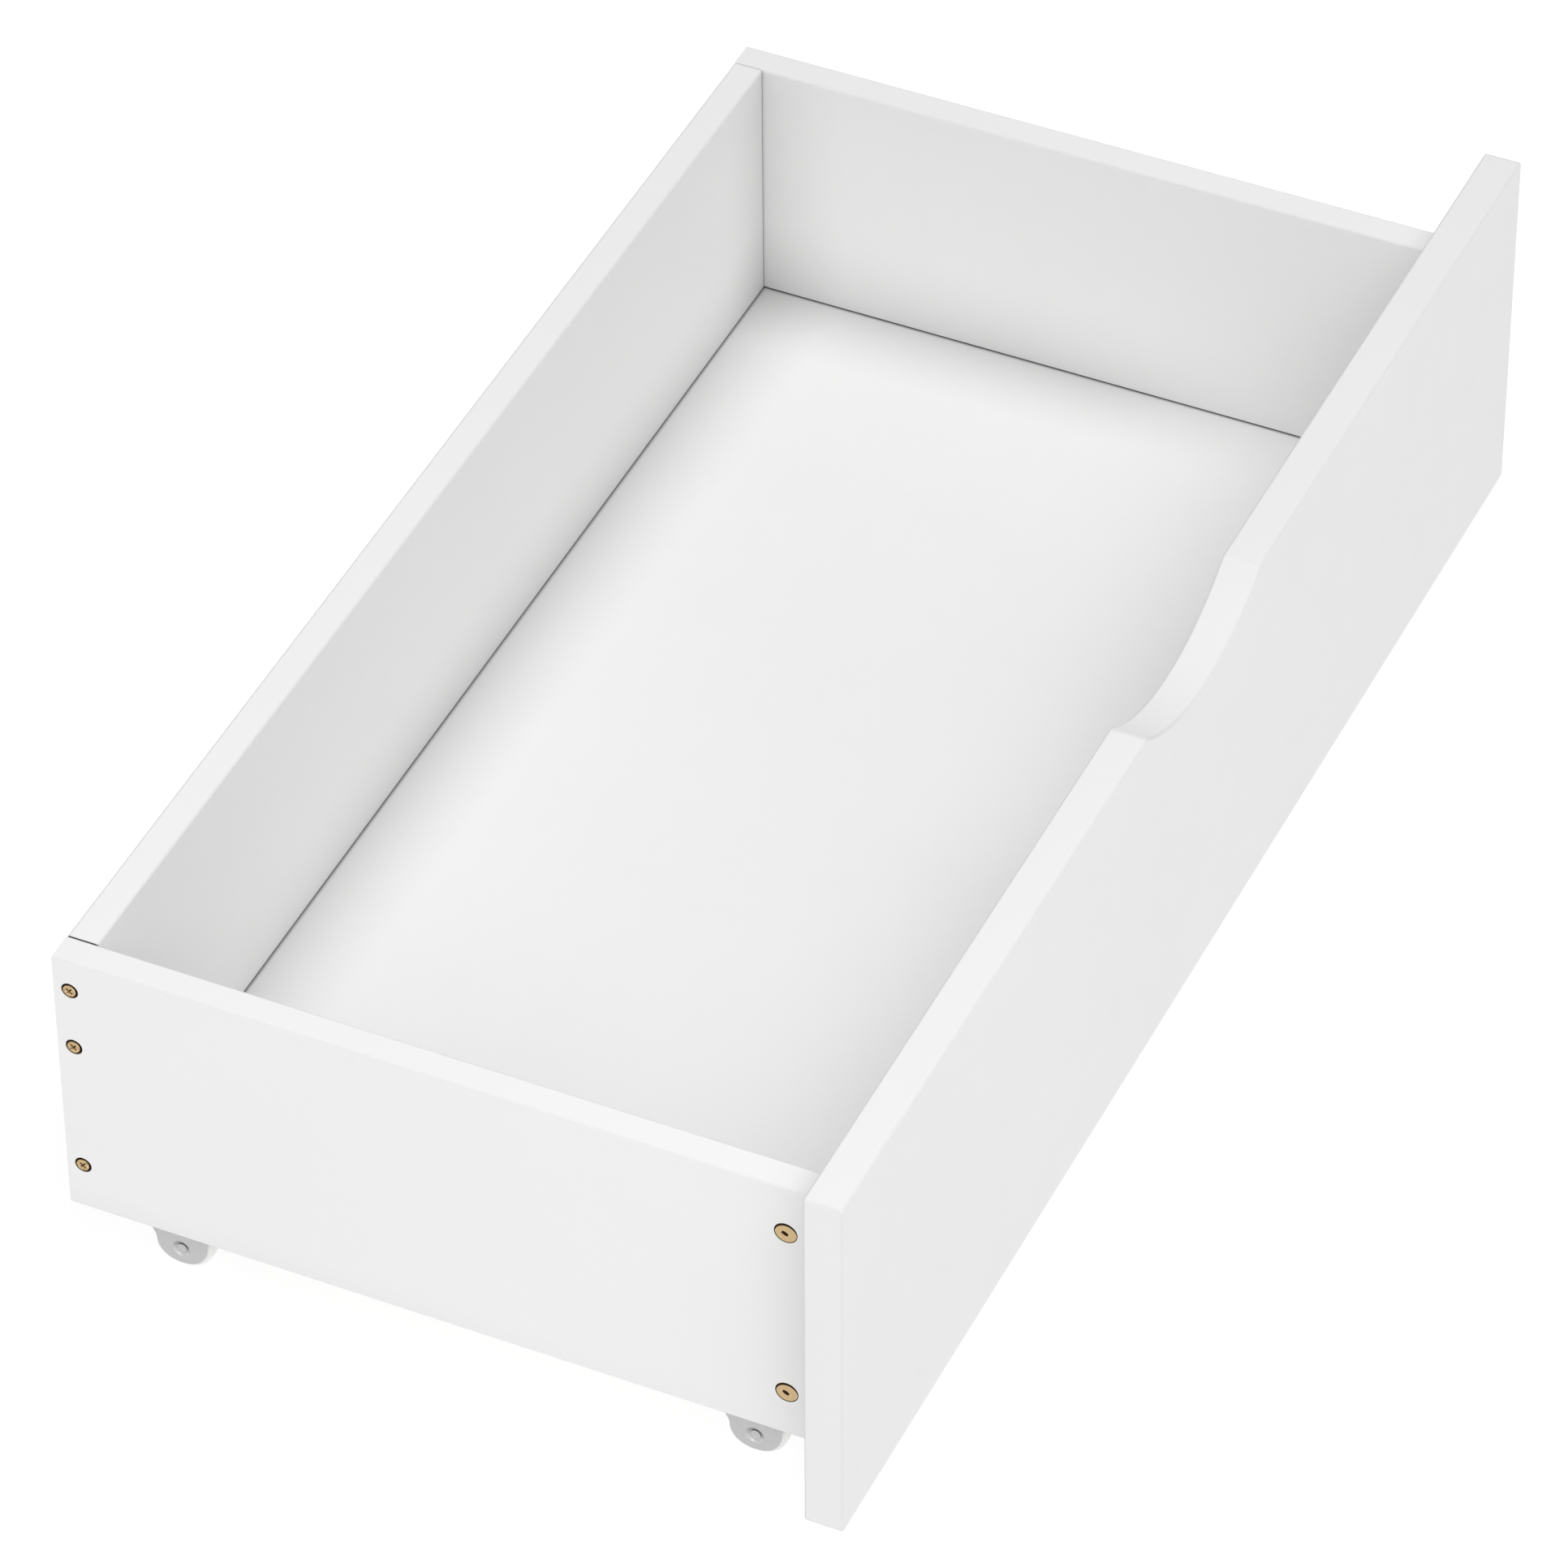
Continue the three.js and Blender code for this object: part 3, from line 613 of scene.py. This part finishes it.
# A copy of the front's lacquer with painted light and shade by facing, for the hand cut-out.
CUT_OUT_LACQUER_PAINTED_LIGHT = white_lacquer("white_lacquer_cut_out_painted_light", 0.81, painted_facing_light=CUT_OUT_PAINTED_LIGHT)
LAMINATE = floor_laminate()
RAW_BOARD = raw_fibreboard()
PRIMED = primed_board()
BEECH = beech()
CAM_STEEL = yellow_steel("yellow_cam", 900, [(0.3, (0.55, 0.39, 0.20)), (0.5, (0.61, 0.44, 0.235)),
                                             (0.7, (0.66, 0.49, 0.27))])
SCREW_STEEL = yellow_steel("yellow_screw", 750, [(0.35, (0.36, 0.20, 0.085)), (0.5, (0.60, 0.42, 0.21)),
                                                 (0.65, (0.78, 0.62, 0.38))])
CASTING_PAINTED_SHADOW = cast_metal_painted_shadow()
ZINC = zinc("zinc_plate")
# A zinc copy with painted light and shade by facing, for the dimples.
DENT_ZINC_PAINTED_LIGHT = zinc("zinc_plate_dent_painted_light", DENT_PAINTED_LIGHT)
NYLON = nylon()


# ---------- boards ----------

def edges_where(bm, test):
    return [edge for edge in bm.edges if all(test(vertex.co) for vertex in edge.verts)]


def round_edges(bm, edges, radius, segments):
    bmesh.ops.bevel(bm, geom=edges, offset=radius, offset_type="OFFSET", segments=segments,
                    profile=0.5, affect="EDGES", clamp_overlap=True)


def board(node, axis, upper, lower):
    """A straight board: its long upper and lower edges rounded, its sawn ends only eased."""
    low, high, _, _ = box_of(node)
    bm = bmesh.new()
    add_block(bm, low, high)

    def along(edge):
        return abs(edge.verts[0].co[axis] - edge.verts[1].co[axis]) > NEAR

    top = [edge for edge in edges_where(bm, lambda co: co.z > high.z - NEAR) if along(edge)]
    round_edges(bm, top, upper, 6)
    bottom = [edge for edge in edges_where(bm, lambda co: co.z < low.z + NEAR) if along(edge)]
    round_edges(bm, bottom, lower, 4)
    ends = edges_where(bm, lambda co: co[axis] < low[axis] + NEAR)
    ends += edges_where(bm, lambda co: co[axis] > high[axis] - NEAR)
    round_edges(bm, ends, CUT_EDGE, 2)
    return to_object(node + "_board", bm)


def front_outline(low, high):
    """The front panel's outline in X and Z: rounded corners and the curved hand cut-out."""
    bite = GRIP_CHORD / 2
    radius = (bite**2 + GRIP_DEPTH**2) / (2 * GRIP_DEPTH)
    arc_centre = high.z - GRIP_DEPTH + radius
    sweep = math.asin(bite / radius)
    steps = 64
    middle_x = (low.x + high.x) / 2
    arc = [
        (middle_x + radius * math.sin(angle), arc_centre - radius * math.cos(angle))
        for angle in (sweep * (1 - 2 * i / steps) for i in range(steps + 1))
    ]
    far = 0.1
    kink_right = rounded([(high.x - far, high.z), arc[0], arc[2]], GRIP_KINK)[1:-1]
    kink_left = [(2 * middle_x - x, z) for x, z in reversed(kink_right)]
    around_corner = [(high.x, high.z - far), (high.x, high.z), (high.x - far, high.z)]
    upper_right = rounded(around_corner, FRONT_CORNER, 6)[1:-1]
    upper_left = [(2 * middle_x - x, z) for x, z in reversed(upper_right)]
    lower_left = [(x, low.z + high.z - z) for x, z in reversed(upper_left)]
    lower_right = [(x, low.z + high.z - z) for x, z in reversed(upper_right)]
    return lower_left + lower_right + upper_right + kink_right + arc[3:-3] + kink_left + upper_left


def front_panel():
    node = "front_panel"
    low, high, _, size = box_of(node)
    bm = bmesh.new()
    outline = [(x, -z) for x, z in front_outline(low, high)]
    stand = Matrix.Translation((0, low.y, 0)) @ Matrix.Rotation(-math.pi / 2, 4, "X")
    add_prism(bm, outline, stand, size.y)
    rims = edges_where(bm, lambda co: co.y < low.y + NEAR) + edges_where(bm, lambda co: co.y > high.y - NEAR)
    round_edges(bm, rims, FRONT_EASE, 5)
    return to_object(node + "_board", bm)


def nodes_named(*words):
    return [node for node in DRAWER_NODES if all(word in node for word in words)]


def add_floor_groove(bm):
    """The groove that the floor panel sits in, as one block around the panel."""
    low, high, _, _ = box_of("bottom_panel")
    play = Vector((GAP, GAP, GAP))
    add_block(bm, low - play, high + Vector((GAP, GAP, GROOVE_ABOVE)))


def add_lengthwise_bores(bm, board_low, board_high, words, axis, play):
    """A bore round each fastener that lies along an axis and reaches into the board."""
    for node in nodes_named(*words):
        low, high, centre, size = box_of(node)
        if high[axis] < board_low[axis] or low[axis] > board_high[axis]:
            continue
        if not all(board_low[k] < centre[k] < board_high[k] for k in range(3) if k != axis):
            continue
        radius = min(size[k] for k in range(3) if k != axis) / 2 + play
        start, end = low.copy(), high.copy()
        for k in range(3):
            if k != axis:
                start[k] = end[k] = centre[k]
        start[axis] -= GAP
        end[axis] += GAP
        add_rod(bm, start, end - start, radius, (end - start).length, 32)


def cut_front(panel):
    low, high, _, _ = box_of("front_panel")
    bm = bmesh.new()
    add_floor_groove(bm)
    for word in ("cam_bolt", "dowel"):
        add_lengthwise_bores(bm, low, high, (word,), 1, GAP)
    boolean(panel, bm)


def add_screw_mouth(bm, centre, inward):
    """The wide mouth around a rear screw's head, off centre, and the hole for its shank."""
    mouth = [
        (0, -MM), (SCREW_MOUTH + SCREW_MOUTH_EASE + MM, -MM), (SCREW_MOUTH, SCREW_MOUTH_EASE),
        (SCREW_MOUTH, SCREW_MOUTH_DEPTH), (SCREW_HOLE, SCREW_MOUTH_DEPTH + SCREW_MOUTH - SCREW_HOLE),
        (0, SCREW_MOUTH_DEPTH + SCREW_MOUTH),
    ]
    add_turned(bm, mouth, 48, pointing(centre + Vector(SCREW_SAG), inward))
    shaft = [(0, MM), (SCREW_HOLE, MM), (SCREW_HOLE, SCREW_HOLE_DEPTH), (0, SCREW_HOLE_DEPTH)]
    add_turned(bm, shaft, 40, pointing(centre, inward))


def cut_side(panel, side):
    low, high, centre, _ = box_of(side + "_side_panel")
    outward = math.copysign(1, centre.x)
    inward = (-outward, 0, 0)
    face = high.x if outward > 0 else low.x
    bm = bmesh.new()
    add_floor_groove(bm)
    for word in ("cam_bolt", "dowel"):
        add_lengthwise_bores(bm, low, high, (side, word), 1, GAP)
    for node in nodes_named(side, "cam"):
        if node.endswith("_cam"):
            _, _, middle, size = box_of(node)
            depth = abs(face - middle.x) + size.x / 2 + GAP
            add_bore(bm, (face, middle.y, middle.z), inward, size.z / 2, depth, CAM_BORE_EASE)
    for node in nodes_named(side, "rear_screw"):
        _, _, middle, _ = box_of(node)
        add_screw_mouth(bm, Vector((face, middle.y, middle.z)), inward)
    add_lengthwise_bores(bm, low, high, ("caster_screw", side), 2, -PLATE_SCREW_PILOT_INSET)
    boolean(panel, bm)


def cut_back(panel):
    low, high, _, _ = box_of("back_panel")
    bm = bmesh.new()
    add_floor_groove(bm)
    add_lengthwise_bores(bm, low, high, ("rear_screw",), 0, -SCREW_PILOT_INSET)
    boolean(panel, bm)


def cut_rail(rail, node, side):
    low, high, _, _ = box_of(node)
    bm = bmesh.new()
    add_lengthwise_bores(bm, low, high, ("caster_screw", side), 2, -PLATE_SCREW_PILOT_INSET)
    boolean(rail, bm)


def make_boards():
    panel = front_panel()
    cut_front(panel)
    stand_for(panel, "front_panel", FRONT_LACQUER, RAW_BOARD)
    _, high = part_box("front_panel")

    def in_cut_out(face):
        in_grip = high.z - GRIP_DEPTH - MM < face.center.z < high.z - CUT_EDGE
        return in_grip and abs(face.normal.y) < 0.1 and abs(face.center.x) < GRIP_CHORD / 2

    # The hand cut-out's faces get the lacquer copy with painted light and shade by facing.
    paint_where(panel, CUT_OUT_LACQUER_PAINTED_LIGHT, in_cut_out)
    for side in ("left", "right"):
        node = side + "_side_panel"
        panel = board(node, 1, BOARD_EASE, BOARD_LOWER_EASE)
        cut_side(panel, side)
        stand_for(panel, node, SIDE_LACQUER_PAINTED_SHADE[side], RAW_BOARD)
        node = side + "_caster_rail"
        rail = board(node, 1, CUT_EDGE, CUT_EDGE)
        cut_rail(rail, node, side)
        stand_for(rail, node, PRIMED)
    panel = board("back_panel", 0, BOARD_EASE, BOARD_LOWER_EASE)
    cut_back(panel)
    stand_for(panel, "back_panel", BACK_LACQUER_PAINTED_SHADE, RAW_BOARD)
    stand_for(board("bottom_panel", 0, CUT_EDGE, CUT_EDGE), "bottom_panel", LAMINATE)
    stand_for(board("centre_support_rail", 1, CUT_EDGE, CUT_EDGE), "centre_support_rail", PRIMED)


# ---------- fasteners ----------

def screw_thread(start, end, depth, pitch):
    """A shape for add_turned: a helical ridge between two heights, fading out at both."""
    def shape(angle, radius, height):
        if not min(start, end) < height < max(start, end):
            return radius, height
        phase = (height / pitch - angle / math.tau) % 1
        ridge = max(0, 1 - abs(phase - 0.5) / 0.24)
        fade = min(1, abs(height - start) / pitch, abs(height - end) / pitch)
        return radius + depth * ridge * fade, height
    return shape


def thread_rows(radius, start, end, pitch):
    """Profile rows close enough together to carry the ridge."""
    count = max(2, round(abs(end - start) / pitch * 7))
    return [(radius, start + (end - start) * i / count) for i in range(count + 1)]


def add_cross(bm, matrix, reach, width, depth):
    """A cross recess: two wedges that narrow towards the bottom."""
    for turn in (0, math.pi / 2):
        wing = matrix @ Matrix.Rotation(turn, 4, "Z")
        verts = add_block(bm, Vector((-1, -1, -1)), Vector((1, 1, 1)))
        for vertex in verts:
            x, y, z = vertex.co
            below = z < 0
            vertex.co = wing @ Vector((
                x * reach * (0.5 if below else 1),
                y * width / 2 * (0.75 if below else 1),
                -depth if below else 0.6 * MM,
            ))


def rear_screw(node, turn):
    """A countersunk wood screw with a slightly domed head and a cross recess."""
    _, _, centre, size = box_of(node)
    outward = math.copysign(1, centre.x)
    head = size.z / 2
    length = size.x
    top = [
        (0, 0), (head * 0.55, -0.04 * MM), (head * 0.95, -0.14 * MM), (head, -0.35 * MM),
        (SCREW_SHANK + 0.2 * MM, -SCREW_CONE), (SCREW_SHANK, -SCREW_CONE - MM), (SCREW_SHANK, -SCREW_PLAIN),
    ]
    thread = thread_rows(SCREW_SHANK, -SCREW_PLAIN - MM, -length + SCREW_TAPER, THREAD_PITCH)
    point = [(SCREW_SHANK * 0.6, -length + 2 * MM), (0, -length)]
    matrix = pointing((centre.x + outward * length / 2, centre.y, centre.z), (outward, 0, 0))
    shape = screw_thread(-SCREW_PLAIN - 0.5 * MM, -length + SCREW_TAPER + 0.2 * MM,
                         THREAD_DEPTH, THREAD_PITCH)
    screw = turned(node + "_turned", rounded(top, 0.3 * MM) + thread + point, 32, matrix, shape)
    bm = bmesh.new()
    add_cross(bm, matrix @ Matrix.Rotation(turn, 4, "Z"), *SCREW_CROSS)
    boolean(screw, bm)
    stand_for(screw, node, SCREW_STEEL)


def cam(node, turn):
    """A connector disc: slot with a short cross arm, stepped upper rim, side mouth for the bolt's head."""
    _, _, centre, size = box_of(node)
    outward = math.copysign(1, centre.x)
    radius = size.z / 2 - CAM_PLAY
    depth = size.x
    face = Vector((centre.x + outward * depth / 2, centre.y, centre.z))
    matrix = pointing(face, (outward, 0, 0))
    back_edge = 0.4 * MM
    profile = [
        (0, -0.12 * MM), (radius * 0.3, -0.12 * MM), (radius * 0.36, -0.02 * MM), (radius - 0.2 * MM, 0),
        (radius, -0.15 * MM), (radius, -depth + back_edge), (radius - back_edge, -depth), (0, -depth),
    ]
    disc = turned(node + "_turned", rounded(profile, 0.25 * MM), 72, matrix)
    bm = bmesh.new()
    driven = Matrix.Translation(CAM_SLOT_OFFSET) @ matrix @ Matrix.Rotation(turn, 4, "Z")
    for arm, angle in zip(CAM_SLOT_ARMS, (0, math.pi / 2)):
        low, high = Vector((-arm, -CAM_SLOT_HALF, -CAM_SLOT_DEPTH)), Vector((arm, CAM_SLOT_HALF, MM))
        for vertex in add_block(bm, low, high):
            vertex.co = driven @ Matrix.Rotation(angle, 4, "Z") @ vertex.co
    outside = radius + 3 * MM
    step = [(radius, -CAM_STEP_DEPTH), (outside, -CAM_STEP_DEPTH), (outside, MM), (radius, MM),
            (radius, -CAM_STEP_DEPTH)]
    add_turned(bm, step, 72, Matrix.Translation((0, 0, -CAM_STEP)) @ matrix)
    _, bolt_high, bolt_centre, bolt_size = box_of(node + "_bolt")
    before_rim = centre.y - radius - 1 * MM
    start = Vector((bolt_centre.x, before_rim, centre.z))
    add_rod(bm, start, (0, 1, 0), bolt_size.x / 2 + GAP, bolt_high.y + 1.2 * MM - before_rim, 40)
    boolean(disc, bm)
    stand_for(disc, node, CAM_STEEL)
    # The stepped rim and the sides get the very dark painted shadow.
    paint_where(disc, CASTING_PAINTED_SHADOW, lambda side: abs(side.center.x - face.x) > CAM_STEP_DEPTH / 2
                or abs(side.normal.x) < 0.5)


def cam_bolt(node):
    """The bolt that a cam pulls on: wood thread in the front panel, collar, thin neck, round head."""
    low, _, centre, size = box_of(node)
    length = size.y
    head = size.x / 2
    core = BOLT_CORE
    collar = head * BOLT_COLLAR
    neck = core * BOLT_NECK
    profile = [(0, 0), (core * 0.7, 0), (core, 1 * MM)]
    profile += thread_rows(core, 1.2 * MM, BOLT_THREADED - 0.5 * MM, BOLT_PITCH)
    tail = [
        (core, BOLT_THREADED), (collar, BOLT_THREADED + 0.3 * MM), (collar, BOLT_THREADED + 1.3 * MM),
        (core, BOLT_THREADED + 1.7 * MM), (core, length - 6 * MM), (neck, length - 5 * MM),
        (neck, length - 2.8 * MM), (head, length - 2.6 * MM), (head, length), (0, length),
    ]
    profile += rounded(tail, 0.35 * MM)
    matrix = pointing((centre.x, low.y, centre.z), (0, 1, 0))
    shape = screw_thread(1 * MM, BOLT_THREADED - 0.2 * MM, BOLT_THREAD_DEPTH, BOLT_PITCH)
    stand_for(turned(node + "_turned", profile, 32, matrix, shape), node, ZINC)


def dowel(node):
    """A fluted beech dowel with chamfered ends."""
    low, _, centre, size = box_of(node)
    radius = size.x / 2
    length = size.y

    def fluted(angle, r, h):
        if DOWEL_PLAIN < h < length - DOWEL_PLAIN:
            return r - DOWEL_FLUTE_DEPTH * max(0, math.cos(angle * DOWEL_FLUTES)) ** 2, h
        return r, h

    end = [(radius - 0.8 * MM, 0), (radius, DOWEL_CHAMFER), (radius, DOWEL_PLAIN + 0.1 * MM)]
    profile = [(0, 0)] + end + [(r, length - h) for r, h in reversed(end)] + [(0, length)]
    matrix = pointing((centre.x, low.y, centre.z), (0, 1, 0))
    stand_for(turned(node + "_turned", profile, DOWEL_FLUTES * 6, matrix, fluted), node, BEECH)


def make_fasteners():
    for index, node in enumerate(nodes_named("rear_screw")):
        rear_screw(node, math.radians(47 + 3 * (index % 3)))
    for node in (node for node in nodes_named("cam") if node.endswith("_cam")):
        cam(node, math.radians(CAM_TURN))
        cam_bolt(node + "_bolt")
    for node in nodes_named("dowel"):
        dowel(node)


# ---------- castors ----------

def bezier(a, b, c, d, steps):
    """Points of a cubic curve, without its first one."""
    a, b, c, d = (Vector(point) for point in (a, b, c, d))
    points = []
    for i in range(1, steps + 1):
        t = i / steps
        points.append(tuple(a * (1 - t) ** 3 + b * 3 * t * (1 - t) ** 2 + c * 3 * t**2 * (1 - t) + d * t**3))
    return points


def cheek_outline(plate_half, plate_top):
    """The fork from the side: plate-wide on top, flared cheek, round below. Y and Z from the axle."""
    flare_top = (plate_half, plate_top - PLATE_THICKNESS - CHEEK_BAND)
    belly = (CHEEK_HALF, CHEEK_BELLY)
    round_y, round_z = CHEEK_ROUND
    right = [flare_top]
    waist = (CHEEK_HALF + CHEEK_WAIST_OUT, CHEEK_WAIST)
    right += bezier(flare_top, (plate_half, CHEEK_SHOULDER), waist, belly, 16)
    right += bezier(belly, (CHEEK_HALF, -round_z), (round_y, -CHEEK_BELOW), (0, -CHEEK_BELOW), 24)
    left = [(-y, z) for y, z in reversed(right[:-1])]
    above = plate_top + MM
    return [(plate_half, above)] + right + left + [(-plate_half, above)]


def fork_section(plate_half, plate_top):
    """The fork from the front: a plate and two cheeks bent down from one sheet. X and Z from the axle."""
    under = plate_top - PLATE_THICKNESS
    out = FORK_OUTER / 2
    inner = out - FORK_SHEET
    foot = -CHEEK_BELOW - 1 * MM
    half = [(plate_half, plate_top), (plate_half, under), (out, under), (out, foot), (inner, foot),
            (inner, under), (0, under)]
    outer_bend = rounded(half[1:4], FORK_OUTER_BEND, 4)
    inner_bend = rounded(half[4:7], FORK_BEND, 6)
    right = [half[0]] + outer_bend + inner_bend[:-1]
    left = [(-x, z) for x, z in reversed(right)]
    return right + left


def add_dimple(bm, axle, sign, behind):
    """Round dent about the axle in one cheek. behind is 0, or the sheet's thickness for its inner side."""
    rows = [(radius * MM, depth * MM + behind) for radius, depth in DIMPLE]
    rows = [(radius, depth) for radius, depth in rows if not behind or depth > behind + 0.2 * MM]
    if behind:
        rows.insert(0, (rows[0][0], behind - 0.5 * MM))
    profile = [(0, rows[0][1])] + rows + [(0, rows[-1][1])]
    mouth = axle + Vector((sign * FORK_OUTER / 2, 0, 0))
    add_turned(bm, profile, 48, pointing(mouth, (-sign, 0, 0)))


def caster_bracket(node, axle_node):
    """The pressed fork with its top plate."""
    low, high, centre, size = box_of(node)
    _, _, axle, _ = box_of(axle_node)
    plate_top = high.z - axle.z
    bm = bmesh.new()
    section = [(x, -z) for x, z in fork_section(size.x / 2, plate_top)]
    stand = Matrix.Translation((axle.x, low.y, axle.z)) @ Matrix.Rotation(-math.pi / 2, 4, "X")
    add_prism(bm, section, stand, size.y)
    fork = to_object(node + "_sheet", bm)
    bm = bmesh.new()
    lie = Matrix(((0, 0, 1, low.x - MM), (1, 0, 0, centre.y), (0, 1, 0, axle.z), (0, 0, 0, 1)))
    add_prism(bm, cheek_outline(size.y / 2, plate_top), lie, size.x + 2 * MM)
    boolean(fork, bm, "INTERSECT")
    for behind, operation in ((FORK_SHEET, "UNION"), (0, "DIFFERENCE")):
        bm = bmesh.new()
        for sign in (-1, 1):
            add_dimple(bm, axle, sign, behind)
        boolean(fork, bm, operation)
    bm = bmesh.new()
    start = Vector((axle.x - FORK_OUTER, axle.y, axle.z))
    add_rod(bm, start, (1, 0, 0), AXLE_RADIUS + GAP, 2 * FORK_OUTER, 36)
    for hole in nodes_named(node.replace("bracket", "screw")):
        _, _, screw, _ = box_of(hole)
        add_rod(bm, Vector((screw.x, screw.y, high.z - 5 * MM)), (0, 0, 1), PLATE_HOLE, 8 * MM, 28)
    boolean(fork, bm)
    soften(fork, FORK_EDGE)
    stand_for(fork, node, ZINC)

    def in_dent(face):
        away = face.center - axle
        return (math.hypot(away.y, away.z) < DIMPLE[0][0] * MM
                and abs(away.x) > FORK_OUTER / 2 - FORK_SHEET)

    # The dimples get the zinc copy with painted light: lighter where they face up, darker where they face
    # down.
    paint_where(fork, DENT_ZINC_PAINTED_LIGHT, in_dent)


def caster_wheel(node):
    """A moulded wheel: hub, thin web, rounded tread with a faint parting line."""
    _, _, centre, size = box_of(node)
    radius = size.z / 2
    hub = size.x / 2
    bored = AXLE_RADIUS + GAP
    side = [
        (bored, 0), (bored, hub), (5.2 * MM, hub), (5.6 * MM, 4.2 * MM),
        (8 * MM, 3.9 * MM), (11.3 * MM, 4.1 * MM), (11.9 * MM, WHEEL_HALF), (radius - 2 * MM, WHEEL_HALF),
        (radius - 0.15 * MM, WHEEL_HALF - 2 * MM), (radius, 0.35 * MM),
    ]
    path = rounded(side, 0.9 * MM, 5)
    path[-1] = (radius, 0.3 * MM)
    parting_line = [(radius - 0.06 * MM, 0)]
    ring = path + parting_line + [(r, -h) for r, h in reversed(path[1:])] + [path[0]]
    wheel = turned(node + "_moulded", ring, 96, pointing(centre, (1, 0, 0)))
    stand_for(wheel, node, NYLON)


def caster_axle(node):
    """A rivet through fork and wheel, with a low domed head in the dimple at each end."""
    _, _, centre, size = box_of(node)
    head = size.z / 2
    end = size.x / 2
    face = FORK_OUTER / 2 - DIMPLE_DEPTH + GAP
    side = [(AXLE_RADIUS, 0), (AXLE_RADIUS, face), (head, face), (head, end - 0.3 * MM),
            (head - 0.9 * MM, end - 0.05 * MM), (0, end)]
    path = rounded(side, 0.5 * MM, 5)
    profile = [(r, -h) for r, h in reversed(path[1:])] + path[1:]
    stand_for(turned(node + "_turned", profile, 56, pointing(centre, (1, 0, 0))), node, ZINC)


def caster_screw(node, turn):
    """A pan head screw, head down."""
    low, _, centre, size = box_of(node)
    head = size.y / 2
    shank = PLATE_SCREW_SHANK
    length = size.z
    height = PLATE_SCREW_HEAD
    cap = [
        (0, 0), (head * 0.55, 0.05 * MM), (head * 0.92, 0.5 * MM), (head, 1.1 * MM),
        (head, height), (shank, height),
    ]
    profile = rounded(cap, 0.4 * MM)
    profile += thread_rows(shank, height + 0.3 * MM, length - 2 * MM, PLATE_SCREW_PITCH)
    profile += [(shank * 0.5, length - 0.8 * MM), (0, length)]
    matrix = Matrix.Translation((centre.x, centre.y, low.z))
    shape = screw_thread(height + 0.2 * MM, length - 1.9 * MM, PLATE_SCREW_THREAD, PLATE_SCREW_PITCH)
    screw = turned(node + "_turned", profile, 24, matrix, shape)
    bm = bmesh.new()
    flipped = matrix @ Matrix.Rotation(math.pi, 4, "X") @ Matrix.Rotation(turn, 4, "Z")
    add_cross(bm, flipped, *PLATE_SCREW_CROSS)
    boolean(screw, bm)
    stand_for(screw, node, ZINC)


def make_castors():
    for node in nodes_named("caster_bracket"):
        name = node.removesuffix("_bracket")
        caster_bracket(node, name + "_axle")
        caster_wheel(name + "_wheel")
        caster_axle(name + "_axle")
    for index, node in enumerate(nodes_named("caster_screw")):
        caster_screw(node, math.radians(31 * index))


# ---------- stage, light and camera ----------

def make_stage():
    bm = bmesh.new()
    corners = ((-1, -1), (1, -1), (1, 1), (-1, 1))
    bm.faces.new([bm.verts.new((x * STAGE_REACH, y * STAGE_REACH, 0)) for x, y in corners])
    ground = to_object("studio_floor", bm)
    material = bpy.data.materials.new("studio_floor")
    material.use_nodes = True
    shader = material.node_tree.nodes["Principled BSDF"]
    shader.inputs["Base Color"].default_value = (STAGE_GREY, STAGE_GREY, STAGE_GREY, 1)
    shader.inputs["Roughness"].default_value = 0.9
    shader.inputs["Specular IOR Level"].default_value = 0.1
    shader.inputs["Emission Color"].default_value = (1, 1, 1, 1)
    shader.inputs["Emission Strength"].default_value = STAGE_GLOW
    ground.data.materials.append(material)


def soft_light(name, direction, watts):
    """A square panel light that looks at the object from the given direction."""
    data = bpy.data.lights.new(name, "AREA")
    data.shape = "SQUARE"
    data.size = LIGHT_SIZE
    data.energy = watts
    light = bpy.data.objects.new(name, data)
    bpy.context.scene.collection.objects.link(light)
    light.location = LIGHT_AIM + Vector(direction).normalized() * LIGHT_DISTANCE
    light.rotation_euler = (LIGHT_AIM - light.location).to_track_quat("-Z", "Y").to_euler()


def make_light():
    world = bpy.data.worlds.new("studio")
    bpy.context.scene.world = world
    world.use_nodes = True
    world.node_tree.nodes["Background"].inputs["Color"].default_value = (1, 1, 1, 1)
    world.node_tree.nodes["Background"].inputs["Strength"].default_value = WORLD_LIGHT
    for name, (direction, watts) in LIGHTS.items():
        soft_light(name, direction, watts)
    bpy.context.scene.view_settings.view_transform = "Standard"


def make_camera():
    """A long lens above the left end of the drawer."""
    level_reach = math.cos(CAMERA_ELEVATION)
    forward = Vector((math.sin(CAMERA_AZIMUTH) * level_reach, math.cos(CAMERA_AZIMUTH) * level_reach,
                      -math.sin(CAMERA_ELEVATION)))
    level = forward.cross(Vector((0, 0, 1))).normalized()
    upright = level.cross(forward)
    up = upright * math.cos(CAMERA_ROLL) + level * math.sin(CAMERA_ROLL)
    right = forward.cross(up)
    data = bpy.data.cameras.new("camera")
    data.sensor_width = 36
    data.lens = CAMERA_LENS
    data.shift_x, data.shift_y = CAMERA_SHIFT
    data.clip_end = 60
    camera = bpy.data.objects.new("camera", data)
    bpy.context.scene.collection.objects.link(camera)
    basis = Matrix((right, up, -forward)).transposed()
    camera.matrix_world = Matrix.Translation(CAMERA_AIM - forward * CAMERA_DISTANCE) @ basis.to_4x4()
    bpy.context.scene.camera = camera


make_camera()
make_light()
make_stage()
make_boards()
make_fasteners()
make_castors()

bpy.context.view_layer.update()
